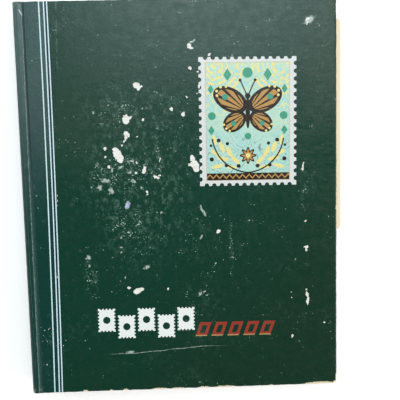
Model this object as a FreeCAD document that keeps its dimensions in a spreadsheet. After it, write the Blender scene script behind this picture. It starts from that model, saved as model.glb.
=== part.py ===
import FreeCAD, Part
import Sketcher
import os

# A stamp album: a hard case with a grooved joint on each side of its spine, and a block of eight stock
# leaves that turn on one cord. Every leaf has a linen hinge and rows of clear film pockets on both pages,
# and glassine sheets lie between the leaves. One small stock card is kept loose in the middle.
#
# The album lies closed on its back cover. X runs from the spine to the fore edge, Y from tail to head and
# Z up out of the front cover. The origin is the middle of the back cover's outer face. In the sizes below
# "u" is a distance from the outer face of the spine, so X is u minus half the cover's width.

# Driving sizes in millimetres, and counts.
SIZES = {
    "cover_height": 264.0,
    "cover_width": 212.0,
    "board_thickness": 2.5,
    "board_setback": 7.8,
    "wrap_thickness": 0.3,
    "turn_in": 14.0,
    "corner_radius": 2.5,
    "pastedown_thickness": 0.2,
    "pastedown_margin": 4.0,
    "spine_board_thickness": 2.0,
    "spine_lining_thickness": 0.4,
    "spine_lining_margin": 1.5,
    "shoulder_radius": 3.0,
    "groove_depth": 1.1,
    "joint_thickness": 0.8,
    "cord_radius": 0.9,
    "cord_clearance": 0.3,
    "thread_radius": 0.15,
    "thread_clearance": 0.02,
    "stitch_count": 12,
    "band_radius": 2.0,
    "band_length": 2.5,
    "block_square": 4.0,
    "sheet_gap": 0.2,
    "flyleaf_thickness": 0.25,
    "flyleaf_inset": 9.0,
    "interleaf_thickness": 0.1,
    "interleaf_inset": 10.0,
    "leaf_count": 8,
    "leaf_thickness": 0.9,
    "leaf_inset": 13.0,
    "linen_thickness": 0.25,
    "linen_knee": 9.0,
    "linen_flare": 1.5,
    "linen_grip": 8.0,
    "linen_gap": 0.15,
    "film_thickness": 0.12,
    "film_standoff": 0.15,
    "film_foot": 2.5,
    "strip_count": 7,
    "strip_height": 30.0,
    "strip_pitch": 34.0,
    "strip_margin": 4.0,
    "loose_card_length": 144.0,
    "loose_card_width": 98.0,
    "loose_card_thickness": 0.5,
    "loose_card_corner": 2.5,
    "loose_card_overhang": 5.7,
    "loose_card_offset": 47.5,
    "loose_strip_count": 3,
    "loose_strip_height": 26.0,
    "loose_strip_pitch": 30.0,
    "loose_strip_margin": 3.0,
}

doc = FreeCAD.newDocument("stamp_album")
sizes = doc.addObject("Spreadsheet::Sheet", "sizes")
places = doc.addObject("Spreadsheet::Sheet", "places")


def fill_sizes():
    """Puts each driving size into a cell of its own, with its name as the alias."""
    for row, (name, value) in enumerate(SIZES.items(), start=1):
        sizes.set(f"A{row}", name)
        sizes.set(f"B{row}", str(value))
        sizes.setAlias(f"B{row}", name)
    doc.recompute()


place_rows = []


def add_place(name, formula):
    """Adds a value that follows from the driving sizes, as a formula with an alias."""
    place_rows.append(name)
    row = len(place_rows)
    places.set(f"A{row}", name)
    places.set(f"B{row}", "=" + formula)
    places.setAlias(f"B{row}", name)


def leaf_numbers():
    """Leaves are counted from the front cover; the first half turns to the left of the middle opening."""
    count = int(sizes.leaf_count)
    return list(range(1, count + 1)), count // 2


def fill_places():
    """Stacks the sheets from the back cover to the front cover and places the fold and the joints."""
    leaves, front_half = leaf_numbers()
    last = leaves[-1]
    add_place("case_depth", "2 * sizes.wrap_thickness + sizes.board_thickness")
    add_place("cover_depth", "2 * sizes.wrap_thickness + sizes.board_thickness + sizes.pastedown_thickness")
    add_place("film_depth", "sizes.film_standoff + sizes.film_thickness")
    doc.recompute()
    add_place("leaf_depth", "sizes.leaf_thickness + 2 * max(sizes.linen_thickness; film_depth)")
    add_place("loose_depth", "sizes.loose_card_thickness + film_depth")
    doc.recompute()
    add_place("leaf_pitch", "leaf_depth + sizes.interleaf_thickness + 2 * sizes.sheet_gap")
    add_place("back_flyleaf_z", "cover_depth + sizes.sheet_gap + sizes.flyleaf_thickness / 2")
    doc.recompute()
    for leaf in reversed(leaves):
        if leaf == last:
            level = "back_flyleaf_z + sizes.flyleaf_thickness / 2 + sizes.sheet_gap + leaf_depth / 2"
        elif leaf == front_half:
            level = f"leaf_{leaf + 1}_z + leaf_pitch + loose_depth + sizes.sheet_gap"
        else:
            level = f"leaf_{leaf + 1}_z + leaf_pitch"
        add_place(f"leaf_{leaf}_z", level)
        doc.recompute()
    add_place("front_flyleaf_z", "leaf_1_z + leaf_depth / 2 + sizes.sheet_gap + sizes.flyleaf_thickness / 2")
    doc.recompute()
    add_place("closed_depth", "front_flyleaf_z + sizes.flyleaf_thickness / 2 + sizes.sheet_gap + cover_depth")
    add_place("leaf_height", "sizes.cover_height - 2 * sizes.block_square")
    add_place("leaf_edge_u", "sizes.cover_width - sizes.block_square")
    add_place("spine_face_u", "sizes.wrap_thickness + sizes.spine_board_thickness")
    doc.recompute()
    add_place("fold_z", "closed_depth / 2")
    add_place("fold_u", "spine_face_u + sizes.spine_lining_thickness + sizes.cord_clearance + sizes.band_radius")
    add_place("stitch_reach", "sizes.cord_radius + 2 * sizes.thread_radius + sizes.thread_clearance")
    doc.recompute()
    for leaf in leaves:
        add_place(f"leaf_{leaf}_slope", f"atan2(leaf_{leaf}_z - fold_z; sizes.linen_knee)")
    doc.recompute()
    for leaf in leaves:
        # a linen strip stops where it would come nearer than the gap to the strip next towards the middle
        inner = leaf + 1 if leaf <= front_half else leaf - 1
        apart = f"sin(abs(leaf_{leaf}_slope - leaf_{inner}_slope))"
        spread = f"(sizes.linen_thickness + sizes.linen_gap) / {apart}"
        add_place(f"leaf_{leaf}_reach", f"max(stitch_reach + sizes.cord_clearance; {spread})")
    doc.recompute()


def number(expression):
    """The present value of an expression."""
    return float(places.evalExpression(expression))


def place(piece, u, y, z):
    """Binds a piece's position, with u counted from the spine's outer face."""
    piece.setExpression("Placement.Base.x", f"{u} - sizes.cover_width / 2")
    piece.setExpression("Placement.Base.y", y)
    piece.setExpression("Placement.Base.z", z)
    return piece


def box(name, u, y, z, length, width, height):
    """A block with its lowest corner at u, y, z."""
    piece = doc.addObject("Part::Box", name)
    piece.setExpression("Length", length)
    piece.setExpression("Width", width)
    piece.setExpression("Height", height)
    return place(piece, u, y, z)


def centred_box(name, u, z, length, width, height):
    """A block that is centred on the album's middle plane across Y."""
    return box(name, u, f"-({width}) / 2", z, length, width, height)


def cylinder(name, radius, length, u, y, z):
    """A round bar along Y, from y upwards."""
    piece = doc.addObject("Part::Cylinder", name)
    piece.setExpression("Radius", radius)
    piece.setExpression("Height", length)
    piece.Placement.Rotation = FreeCAD.Rotation(FreeCAD.Vector(1, 0, 0), -90)
    return place(piece, u, y, z)


def rounded(name, plate, radius, both_sides=False):
    """Rounds the upright edges of a plate at its fore edge, or at all four corners."""
    doc.recompute()
    far = plate.Shape.BoundBox.XMax
    picked = []
    for index, edge in enumerate(plate.Shape.Edges, start=1):
        start, end = [vertex.Point for vertex in edge.Vertexes]
        upright = abs(start.x - end.x) + abs(start.y - end.y) < 1e-6
        if upright and (both_sides or abs(start.x - far) < 1e-6):
            picked.append((index, radius, radius))
    piece = doc.addObject("Part::Fillet", name)
    piece.Base = plate
    piece.Edges = picked
    doc.recompute()
    return piece


def cut(name, base, *tools):
    """Takes the tools out of the base."""
    piece = doc.addObject("Part::Cut", name)
    piece.Base = base
    if len(tools) == 1:
        piece.Tool = tools[0]
    else:
        piece.Tool = doc.addObject("Part::MultiFuse", name + "_cutters")
        piece.Tool.Shapes = list(tools)
    return piece


def fuse(name, *pieces):
    """Joins pieces that touch into one solid."""
    piece = doc.addObject("Part::MultiFuse", name)
    piece.Shapes = list(pieces)
    piece.Refine = True
    return piece


def group(name, pieces):
    """Gathers separate solids under one name."""
    piece = doc.addObject("Part::Compound", name)
    piece.Links = list(pieces)
    return piece


def arc_middle(start, end, centre, radius):
    """The point halfway along the shorter arc from start to end."""
    outward = (start + end) * 0.5 - centre
    return centre + outward * (radius / outward.Length)


def pad_profile(name, corners, depth, arcs=()):
    """Pads a closed outline in u and z, centred across Y.

    corners: pairs of expressions. arcs: for the edge that leaves a corner, by its number, the
    expressions of the arc's centre u, centre z and radius; the other edges are straight.
    """
    arcs = dict(arcs)
    body = doc.addObject("PartDesign::Body", name)
    sketch = body.newObject("Sketcher::SketchObject", name + "_outline")
    plane = [feature for feature in body.Origin.OriginFeatures if feature.Role == "XZ_Plane"][0]
    sketch.AttachmentSupport = [(plane, "")]
    sketch.MapMode = "FlatFace"
    points = [FreeCAD.Vector(number(u), number(z), 0) for u, z in corners]
    ends = []
    for index, start in enumerate(points):
        end = points[(index + 1) % len(points)]
        if index in arcs:
            centre_u, centre_z, radius = [number(text) for text in arcs[index]]
            centre = FreeCAD.Vector(centre_u, centre_z, 0)
            middle = arc_middle(start, end, centre, radius)
            sketch.addGeometry(Part.Arc(start, middle, end))
            counterclockwise = (start - centre).cross(end - centre).z > 0
            ends.append((1, 2) if counterclockwise else (2, 1))
        else:
            sketch.addGeometry(Part.LineSegment(start, end))
            ends.append((1, 2))
    for index, (u, z) in enumerate(corners):
        following = (index + 1) % len(corners)
        sketch.addConstraint(
            Sketcher.Constraint("Coincident", index, ends[index][1], following, ends[following][0])
        )
        for direction, text, value in (("DistanceX", u, points[index].x), ("DistanceY", z, points[index].y)):
            made = sketch.addConstraint(Sketcher.Constraint(direction, -1, 1, index, ends[index][0], value))
            sketch.setExpression(f"Constraints[{made}]", text)
        if index in arcs:
            made = sketch.addConstraint(Sketcher.Constraint("Radius", index, number(arcs[index][2])))
            sketch.setExpression(f"Constraints[{made}]", arcs[index][2])
    pad = body.newObject("PartDesign::Pad", name + "_pad")
    pad.Profile = sketch
    pad.setExpression("Length", depth)
    pad.SideType = "Symmetric"
    body.setExpression("Placement.Base.x", "-sizes.cover_width / 2")
    return body


def make_cover(side, outer_z, inward):
    """Board, wrap with its turn-ins, pastedown and joint of one cover; inward is "+" or "-" along Z."""
    radius = sizes.corner_radius
    wrap = "sizes.wrap_thickness"
    lowest = outer_z if inward == "+" else f"{outer_z} - places.case_depth"
    board_length = "sizes.cover_width - sizes.board_setback - sizes.wrap_thickness"
    board_width = "sizes.cover_height - 2 * sizes.wrap_thickness"
    board_plate = centred_box(
        f"{side}_board_plate", "sizes.board_setback", f"{lowest} + {wrap}", board_length, board_width,
        "sizes.board_thickness",
    )
    board = rounded(f"{side}_board", board_plate, radius - sizes.wrap_thickness)
    wrap_plate = centred_box(
        f"{side}_wrap_plate", "sizes.board_setback", lowest, "sizes.cover_width - sizes.board_setback",
        "sizes.cover_height", "places.case_depth",
    )
    wrap_blank = rounded(f"{side}_wrap_blank", wrap_plate, radius)
    # the turned-in edges leave a window on the inner side, which the pastedown's underside fills
    window_z = f"{lowest} + {wrap} + sizes.board_thickness" if inward == "+" else lowest
    window_length = "sizes.cover_width - sizes.board_setback - sizes.turn_in"
    window_width = "sizes.cover_height - 2 * sizes.turn_in"
    window = [window_z, window_length, window_width, wrap]
    wrap_window = centred_box(f"{side}_wrap_window", "sizes.board_setback", *window)
    cover_wrap = cut(f"{side}_cover_wrap", wrap_blank, board, wrap_window)
    sheet_z = f"{lowest} + places.case_depth" if inward == "+" else f"{lowest} - sizes.pastedown_thickness"
    sheet = centred_box(
        f"{side}_pastedown_sheet", "sizes.board_setback", sheet_z,
        "sizes.cover_width - sizes.board_setback - sizes.pastedown_margin",
        "sizes.cover_height - 2 * sizes.pastedown_margin", "sizes.pastedown_thickness",
    )
    infill = centred_box(f"{side}_pastedown_infill", "sizes.board_setback", *window)
    pastedown = fuse(f"{side}_pastedown", sheet, infill)
    return [board, cover_wrap, pastedown, make_joint(side, outer_z, inward)]


def make_joint(side, outer_z, inward):
    """Flexible strip from the spine's shoulder to the board's edge, dipped into a round groove."""
    near = "sizes.shoulder_radius"
    far = "sizes.board_setback"
    outward = "-" if inward == "+" else "+"
    under = f"{outer_z} {inward} sizes.joint_thickness"
    half = f"({far} - {near}) / 2"
    groove_radius = f"(({half})^2 + sizes.groove_depth^2) / (2 * sizes.groove_depth)"
    middle = f"({near} + {far}) / 2"
    rise = f"({groove_radius} - sizes.groove_depth)"
    corners = [(near, outer_z), (far, outer_z), (far, under), (near, under)]
    arcs = {
        0: (middle, f"{outer_z} {outward} {rise}", groove_radius),
        2: (middle, f"{under} {outward} {rise}", groove_radius),
    }
    return pad_profile(f"{side}_joint", corners, "sizes.cover_height", arcs)


def make_spine():
    """Spine board with rounded edges, its wrap turned in at head and tail, and the lining inside."""
    depth = "places.closed_depth"
    shoulder = "sizes.shoulder_radius"
    top = f"({depth} - {shoulder})"
    wrap = "sizes.wrap_thickness"
    inner_radius = f"({shoulder} - {wrap})"
    face = "places.spine_face_u"
    flap = f"({face} + {wrap})"

    def drop(u):
        return f"sqrt({inner_radius}^2 - ({shoulder} - {u})^2)"

    board = pad_profile(
        "spine_board",
        [(wrap, shoulder), (face, f"{shoulder} - {drop(face)}"), (face, f"{top} + {drop(face)}"), (wrap, top)],
        f"sizes.cover_height - 2 * {wrap}",
        {0: (shoulder, shoulder, inner_radius), 2: (shoulder, top, inner_radius)},
    )
    blank = pad_profile(
        "spine_wrap_blank",
        [
            ("0", shoulder),
            (shoulder, "0"),
            (shoulder, wrap),
            (flap, f"{shoulder} - {drop(flap)}"),
            (flap, f"{top} + {drop(flap)}"),
            (shoulder, f"{depth} - {wrap}"),
            (shoulder, depth),
            ("0", top),
        ],
        "sizes.cover_height",
        {
            0: (shoulder, shoulder, shoulder),
            2: (shoulder, shoulder, inner_radius),
            4: (shoulder, top, inner_radius),
            6: (shoulder, top, shoulder),
        },
    )
    opening = "sizes.cover_height - 2 * sizes.turn_in"
    window = centred_box("spine_wrap_window", face, "0", wrap, opening, depth)
    spine_wrap = cut("spine_wrap", blank, board, window)
    margin = "(sizes.shoulder_radius + sizes.spine_lining_margin)"
    lining = centred_box(
        "spine_lining", face, margin, "sizes.spine_lining_thickness", opening, f"{depth} - 2 * {margin}"
    )
    return [board, spine_wrap, lining]


def make_binding():
    """Cord along the fold, the stitches round it and the bands at its two ends."""
    fold_u, fold_z = "places.fold_u", "places.fold_z"
    half = "places.leaf_height / 2"
    cord = cylinder("binding_cord", "sizes.cord_radius", "places.leaf_height", fold_u, f"-{half}", fold_z)
    stitches = []
    for index in range(int(sizes.stitch_count)):
        stitch = doc.addObject("Part::Torus", f"stitch_{index + 1}")
        stitch.setExpression("Radius1", "sizes.cord_radius + sizes.thread_radius + sizes.thread_clearance")
        stitch.setExpression("Radius2", "sizes.thread_radius")
        stitch.Placement.Rotation = FreeCAD.Rotation(FreeCAD.Vector(1, 0, 0), -90)
        along = f"places.leaf_height * ({index + 0.5} / sizes.stitch_count - 0.5)"
        stitches.append(place(stitch, fold_u, along, fold_z))
    head = cylinder("head_band", "sizes.band_radius", "sizes.band_length", fold_u, half, fold_z)
    tail = cylinder(
        "tail_band", "sizes.band_radius", "sizes.band_length", fold_u, f"-{half} - sizes.band_length", fold_z
    )
    return [cord, group("sewing_thread", stitches), head, tail]


def flat_sheet(name, inset, thickness, level):
    """A plain sheet from its inset beside the fold to the block's fore edge."""
    start = f"places.fold_u + {inset}"
    length = f"places.leaf_edge_u - places.fold_u - {inset}"
    return centred_box(name, start, f"{level} - {thickness} / 2", length, "places.leaf_height", thickness)


def make_leaf_hinge(leaf):
    """Linen strip that grips both faces of the card, narrows to one ply and runs up to the fold."""
    level = f"places.leaf_{leaf}_z"
    slope = f"places.leaf_{leaf}_slope"
    reach = f"places.leaf_{leaf}_reach"
    knee_u = "places.fold_u + sizes.linen_knee"
    card_u = "places.fold_u + sizes.leaf_inset"
    grip_u = f"{card_u} + sizes.linen_grip"
    flare_u = f"{card_u} - sizes.linen_flare"
    half_ply = "sizes.linen_thickness / 2"
    half_card = "sizes.leaf_thickness / 2"
    upper, lower = [], []
    for side, outline in (("+", upper), ("-", lower)):
        turn = "-" if side == "+" else "+"
        end_u = f"places.fold_u + {reach} * cos({slope}) {turn} {half_ply} * sin({slope})"
        end_z = f"places.fold_z + {reach} * sin({slope}) {side} {half_ply} * cos({slope})"
        face = f"{level} {side} {half_card}"
        skin = f"{face} {side} sizes.linen_thickness"
        outline += [
            (end_u, end_z),
            (knee_u, f"{level} {side} {half_ply}"),
            (flare_u, f"{level} {side} {half_ply}"),
            (card_u, skin),
            (grip_u, skin),
            (grip_u, face),
            (card_u, face),
        ]
    return pad_profile(f"leaf_{leaf}_hinge", upper + lower[::-1], "places.leaf_height")


def make_film_rows(name, count, pitch, height, length, start_u):
    """Rows of clear film for one page, glued down along the lower edge of each row and open above it.

    The page's face is at z = 0 and the rows run along X, spread evenly about y = 0.
    """
    rows = []
    for index in range(count):
        bottom = f"({index} - ({count} - 1) / 2) * {pitch} - {height} / 2"
        film = box(
            f"{name}_film_{index + 1}", start_u, bottom, "sizes.film_standoff", length, height,
            "sizes.film_thickness",
        )
        foot = box(
            f"{name}_foot_{index + 1}", start_u, bottom, "0", length, "sizes.film_foot", "sizes.film_standoff"
        )
        rows.append(fuse(f"{name}_row_{index + 1}", film, foot))
    return group(name, rows)


def make_leaves():
    """Each leaf's card, its linen hinge and the film rows on its two pages."""
    start = "places.fold_u + sizes.leaf_inset + sizes.linen_grip + sizes.strip_margin"
    length = f"places.leaf_edge_u - sizes.strip_margin - ({start})"
    page_rows = make_film_rows(
        "page_rows", int(sizes.strip_count), "sizes.strip_pitch", "sizes.strip_height", length, start
    )
    turned_rows = doc.addObject("Part::Mirroring", "turned_page_rows")
    turned_rows.Source = page_rows
    turned_rows.Normal = FreeCAD.Vector(0, 0, 1)
    made = []
    for leaf in leaf_numbers()[0]:
        level = f"places.leaf_{leaf}_z"
        made.append(flat_sheet(f"leaf_{leaf}_card", "sizes.leaf_inset", "sizes.leaf_thickness", level))
        made.append(make_leaf_hinge(leaf))
        front = group(f"leaf_{leaf}_front_strips", [page_rows])
        front.setExpression("Placement.Base.z", f"{level} + sizes.leaf_thickness / 2")
        back = group(f"leaf_{leaf}_back_strips", [turned_rows])
        back.setExpression("Placement.Base.z", f"{level} - sizes.leaf_thickness / 2")
        made += [front, back]
    return made


def make_thin_sheets():
    """The two flyleaves, and a glassine sheet under every leaf but the last."""
    fly = "sizes.flyleaf_thickness"
    made = []
    for side in ("front", "back"):
        made.append(flat_sheet(f"{side}_flyleaf", "sizes.flyleaf_inset", fly, f"places.{side}_flyleaf_z"))
    for leaf in leaf_numbers()[0][:-1]:
        under = f"places.leaf_{leaf}_z - places.leaf_depth / 2 - sizes.sheet_gap"
        level = f"{under} - sizes.interleaf_thickness / 2"
        made.append(flat_sheet(f"interleaf_{leaf}", "sizes.interleaf_inset", "sizes.interleaf_thickness", level))
    return made


def make_loose_card():
    """Small stock card lying on the page right of the middle, standing out past the cover's fore edge."""
    carrier = leaf_numbers()[1] + 1
    bottom = f"places.leaf_{carrier}_z + places.leaf_depth / 2 + sizes.sheet_gap"
    start = "sizes.cover_width + sizes.loose_card_overhang - sizes.loose_card_width"
    plate = box(
        "loose_card_plate", start, "sizes.loose_card_offset - sizes.loose_card_length / 2", bottom,
        "sizes.loose_card_width", "sizes.loose_card_length", "sizes.loose_card_thickness",
    )
    card = rounded("loose_card", plate, sizes.loose_card_corner, both_sides=True)
    # its rows run along Y, so they are made along X about the origin and turned a quarter
    length = "sizes.loose_card_length - 2 * sizes.loose_strip_margin"
    rows = make_film_rows(
        "loose_rows", int(sizes.loose_strip_count), "sizes.loose_strip_pitch", "sizes.loose_strip_height",
        length, f"sizes.cover_width / 2 - ({length}) / 2",
    )
    strips = group("loose_card_strips", [rows])
    strips.Placement.Rotation = FreeCAD.Rotation(FreeCAD.Vector(0, 0, 1), 90)
    place(
        strips, f"{start} + sizes.loose_card_width / 2", "sizes.loose_card_offset",
        f"{bottom} + sizes.loose_card_thickness",
    )
    return [card, strips]


def check_pieces(pieces):
    """Stops if any object failed or any piece has no valid shape."""
    for item in doc.Objects:
        if "Invalid" in item.State or "Error" in item.State:
            raise RuntimeError(f"{item.Name} failed: {item.State}")
    for piece in pieces:
        shape = piece.Shape
        if shape.isNull() or not shape.isValid() or not shape.Solids:
            raise RuntimeError(f"{piece.Label} has no valid solid")


def main():
    fill_sizes()
    fill_places()
    pieces = make_cover("front", "places.closed_depth", "-")
    pieces += make_cover("back", "0", "+")
    pieces += make_spine()
    pieces += make_binding()
    pieces += make_leaves()
    pieces += make_thin_sheets()
    pieces += make_loose_card()
    doc.recompute()
    check_pieces(pieces)
    os.makedirs("parts", exist_ok=True)
    for piece in pieces:
        piece.Shape.exportStep(f"parts/{piece.Label}.step")
    print(f"{len(pieces)} pieces, closed {number('places.closed_depth'):.3f} mm thick")
    print(f"fold at u {number('places.fold_u'):.3f}, z {number('places.fold_z'):.3f}")


main()
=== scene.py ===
"""Dresses a packed stamp album: laminated case, stock leaves, linen hinges, binding and stage."""

import functools
import math
import types

import bpy
import numpy as np
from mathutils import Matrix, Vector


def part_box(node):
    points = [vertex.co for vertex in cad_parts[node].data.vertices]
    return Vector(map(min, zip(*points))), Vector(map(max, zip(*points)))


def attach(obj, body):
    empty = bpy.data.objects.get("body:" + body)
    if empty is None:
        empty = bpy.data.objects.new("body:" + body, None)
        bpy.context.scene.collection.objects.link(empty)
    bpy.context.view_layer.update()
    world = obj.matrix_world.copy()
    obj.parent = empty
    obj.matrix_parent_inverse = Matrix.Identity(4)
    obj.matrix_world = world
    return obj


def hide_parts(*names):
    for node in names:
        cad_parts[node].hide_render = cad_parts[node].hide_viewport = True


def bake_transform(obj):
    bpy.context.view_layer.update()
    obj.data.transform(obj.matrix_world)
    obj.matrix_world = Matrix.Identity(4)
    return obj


bl_info = {
    "name": "Stamp Album",
    "version": (1, 0, 0),
    "blender": (4, 5, 0),
    "location": "View3D > Sidebar > Album",
    "description": "Surfaces and finishes for a worn stamp album with a laminated case",
    "category": "Add Mesh",
}

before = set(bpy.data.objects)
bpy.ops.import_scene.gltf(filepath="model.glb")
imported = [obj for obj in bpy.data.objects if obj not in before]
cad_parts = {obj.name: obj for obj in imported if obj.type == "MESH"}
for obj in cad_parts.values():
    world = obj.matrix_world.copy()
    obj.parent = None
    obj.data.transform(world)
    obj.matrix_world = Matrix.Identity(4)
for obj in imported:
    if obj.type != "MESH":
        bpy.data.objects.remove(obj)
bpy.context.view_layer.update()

MM = 0.001
LEAF_NUMBERS = range(1, 9)
GLASSINE_NUMBERS = range(1, 8)

# Sizes that follow from how the pieces are made, in millimetres. The spine's wrap reaches SPINE_DEPTH
# inwards from its back and so takes in the spine board.
WRAP_THICKNESS = 0.28
LIP_WIDTH = 1.4
TURN_IN_ROWS = (1.6, 3.6)
JOINT_THICKNESS = 0.7
JOINT_FALL = 0.25
TONGUE_THICKNESS = 0.3
SPINE_DEPTH = 2.6
SPINE_END_ROUNDING = 0.45
KNEE_LENGTH = 4.0
GRIP_START = 1.5
GRIP_BEVEL = (0.3, 0.12)
WEAVE_PITCH = 0.45
THREAD_RADIUS = 0.15
BAND_WINDING = 0.55
FLOOR_LEVEL = -0.12
FLOOR_HALF = 4000.0

STITCHES = 12

# Points of each surface: those across or round it, and those along it.
COVER_GRID = (122, 157)
JOINT_GRID = (33, 177)
SPINE_ROWS = 176
LINEN_ROWS = 161
CORD_GRID = (24, 513)
STITCH_GRID = (10, 40)
BAND_GRID = (40, 61)

# Ripples of the laminate: height, or share of one, and wavelength in mm.
EDGE_WEAR = ((0.10, 7.0), (0.08, 2.6))
FACE_WAVE = 60.0
FACE_GRAIN = (0.012, 6.0)
JOINT_CRINKLES = ((1.0, 9.0), (0.6, 3.0))


def paint(red, green, blue):
    """Turns a colour written in 0 to 255 screen values into the linear values that shaders take."""
    share = np.array([red, green, blue], float) / 255
    linear = np.where(share <= 0.04045, share / 12.92, ((share + 0.055) / 1.055) ** 2.4)
    return tuple(float(value) for value in linear) + (1.0,)


def node_box(node):
    """Lowest and highest corner of a CAD node at rest, in millimetres."""
    low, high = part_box(node)
    return np.array(low) / MM, np.array(high) / MM


def fold_line():
    """X and Z of the binding cord's middle, about which the leaves turn."""
    low, high = node_box("binding_cord")
    return (low[[0, 2]] + high[[0, 2]]) / 2


def millimetres(name, description, default, low, high):
    """A size that a user may change: the values are given in millimetres and kept in metres."""
    return bpy.props.FloatProperty(
        name=name, description=description, default=default * MM, min=low * MM, max=high * MM, unit="LENGTH")


def screen_colour(name, description, red, green, blue):
    """A colour that a user may change, given in 0 to 255 screen values."""
    return bpy.props.FloatVectorProperty(
        name=name, description=description, default=paint(red, green, blue), size=4, min=0.0, max=1.0,
        subtype="COLOR")


class AlbumSizes(bpy.types.PropertyGroup):
    """Sizes of the case, the linen and the binding that a user may change."""

    edge_rounding: millimetres("Edge rounding", "Radius of the wrap over the board's edges", 0.9, 0.3, 1.0)
    corner_rounding: millimetres("Corner rounding", "Radius of the fore-edge corners", 2.5, 1.2, 6.0)
    turn_in: millimetres("Turn-in", "Width of the wrap's turned-in edge", 8.0, 5.0, 13.0)
    groove_depth: millimetres("Groove depth", "Depth of the hinge groove beside the spine", 1.1, 0.2, 1.3)
    board_lip: millimetres("Board lip", "How far the wrap dips where the board's edge ends", 0.22, 0.0, 0.28)
    unevenness: millimetres("Unevenness", "Height of the slight waves in the laminate", 0.05, 0.0, 0.2)
    cord_twist: millimetres("Cord twist", "Length of one turn of the binding cord's strands", 4.2, 1.0, 20.0)
    linen_thickness: millimetres("Linen thickness", "Thickness of the linen hinge strips", 0.25, 0.1, 0.3)


class AlbumColours(bpy.types.PropertyGroup):
    """Colours of the album's finishes."""

    ground: screen_colour("Cover ground", "Dark green of the laminated wrap", 7, 59, 44)
    margin: screen_colour("Hinge margin", "Blue-green between the spine and the stripes", 10, 61, 54)
    stripe: screen_colour("Stripe", "White of the printed stripes", 214, 242, 247)
    stamp_border: screen_colour("Stamp border", "White of the printed stamp's border", 220, 223, 221)
    flake: screen_colour("Flaked paper", "Bare paper where the laminate has flaked off", 236, 235, 230)
    board: screen_colour("Board", "Bare cover board at worn edges", 228, 214, 182)
    endpaper: screen_colour("Endpaper", "Cream paper inside the covers", 232, 223, 202)
    stock_card: screen_colour("Stock card", "Ivory card of the leaves", 236, 229, 208)
    loose_card: screen_colour("Loose card", "Cream of the card kept loose in the album", 255, 252, 240)
    linen: screen_colour("Linen", "Woven hinge strips", 226, 218, 196)


def sizes_in_mm(context):
    """The sizes that a user may change, turned from metres into millimetres."""
    sizes = context.scene.album_sizes
    names = AlbumSizes.__annotations__
    return types.SimpleNamespace(**{name: getattr(sizes, name) / MM for name in names})


def sum_of(operation):
    """An operator of Value that adds a Math node of the given kind."""
    def combine(value, *others):
        return value.nodes.math(operation, value, *others)
    return combine


class Value:
    """Output of a node. Sums written with it add Math nodes, and < and > give 1 where they hold."""

    def __init__(self, nodes, socket):
        self.nodes = nodes
        self.socket = socket

    def __rsub__(self, other):
        return self.nodes.math("SUBTRACT", other, self)

    __add__ = sum_of("ADD")
    __sub__ = sum_of("SUBTRACT")
    __mul__ = sum_of("MULTIPLY")
    __truediv__ = sum_of("DIVIDE")
    __abs__ = sum_of("ABSOLUTE")
    __lt__ = sum_of("LESS_THAN")
    __gt__ = sum_of("GREATER_THAN")


class Nodes:
    """Adds nodes to one tree; its methods give back the output of the node that they add."""

    def __init__(self, tree):
        self.tree = tree

    def feed(self, socket, value):
        """Links an output to a socket, or sets a constant on it."""
        if isinstance(value, Value):
            self.tree.links.new(value.socket, socket)
        else:
            socket.default_value = value

    def add(self, kind, output, inputs=(), **settings):
        """Adds a node with its settings, and feeds its inputs: values in order, or by name or number."""
        node = self.tree.nodes.new(kind)
        for key, value in settings.items():
            setattr(node, key, value)
        for key, value in inputs.items() if isinstance(inputs, dict) else enumerate(inputs):
            self.feed(node.inputs[key], value)
        return Value(self, node.outputs[output])

    def math(self, operation, *values):
        """A sum of numbers, named as Blender names it."""
        return self.add("ShaderNodeMath", 0, values, operation=operation)

    def vector(self, operation, *values):
        """A sum of places, named as Blender names it; a length or dot product is a number."""
        output = "Value" if operation in ("LENGTH", "DOT_PRODUCT") else "Vector"
        return self.add("ShaderNodeVectorMath", output, values, operation=operation)

    def ease(self, value, low, high, start=0.0, end=1.0, curve="SMOOTHSTEP"):
        """Step from start to end as the value goes from low to high, smooth unless the curve is LINEAR."""
        return self.add("ShaderNodeMapRange", 0, (value, low, high, start, end), interpolation_type=curve)

    def most(self, *values):
        """The highest of the values."""
        return functools.reduce(lambda first, second: self.math("MAXIMUM", first, second), values)

    def least(self, *values):
        """The lowest of the values."""
        return functools.reduce(lambda first, second: self.math("MINIMUM", first, second), values)


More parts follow.
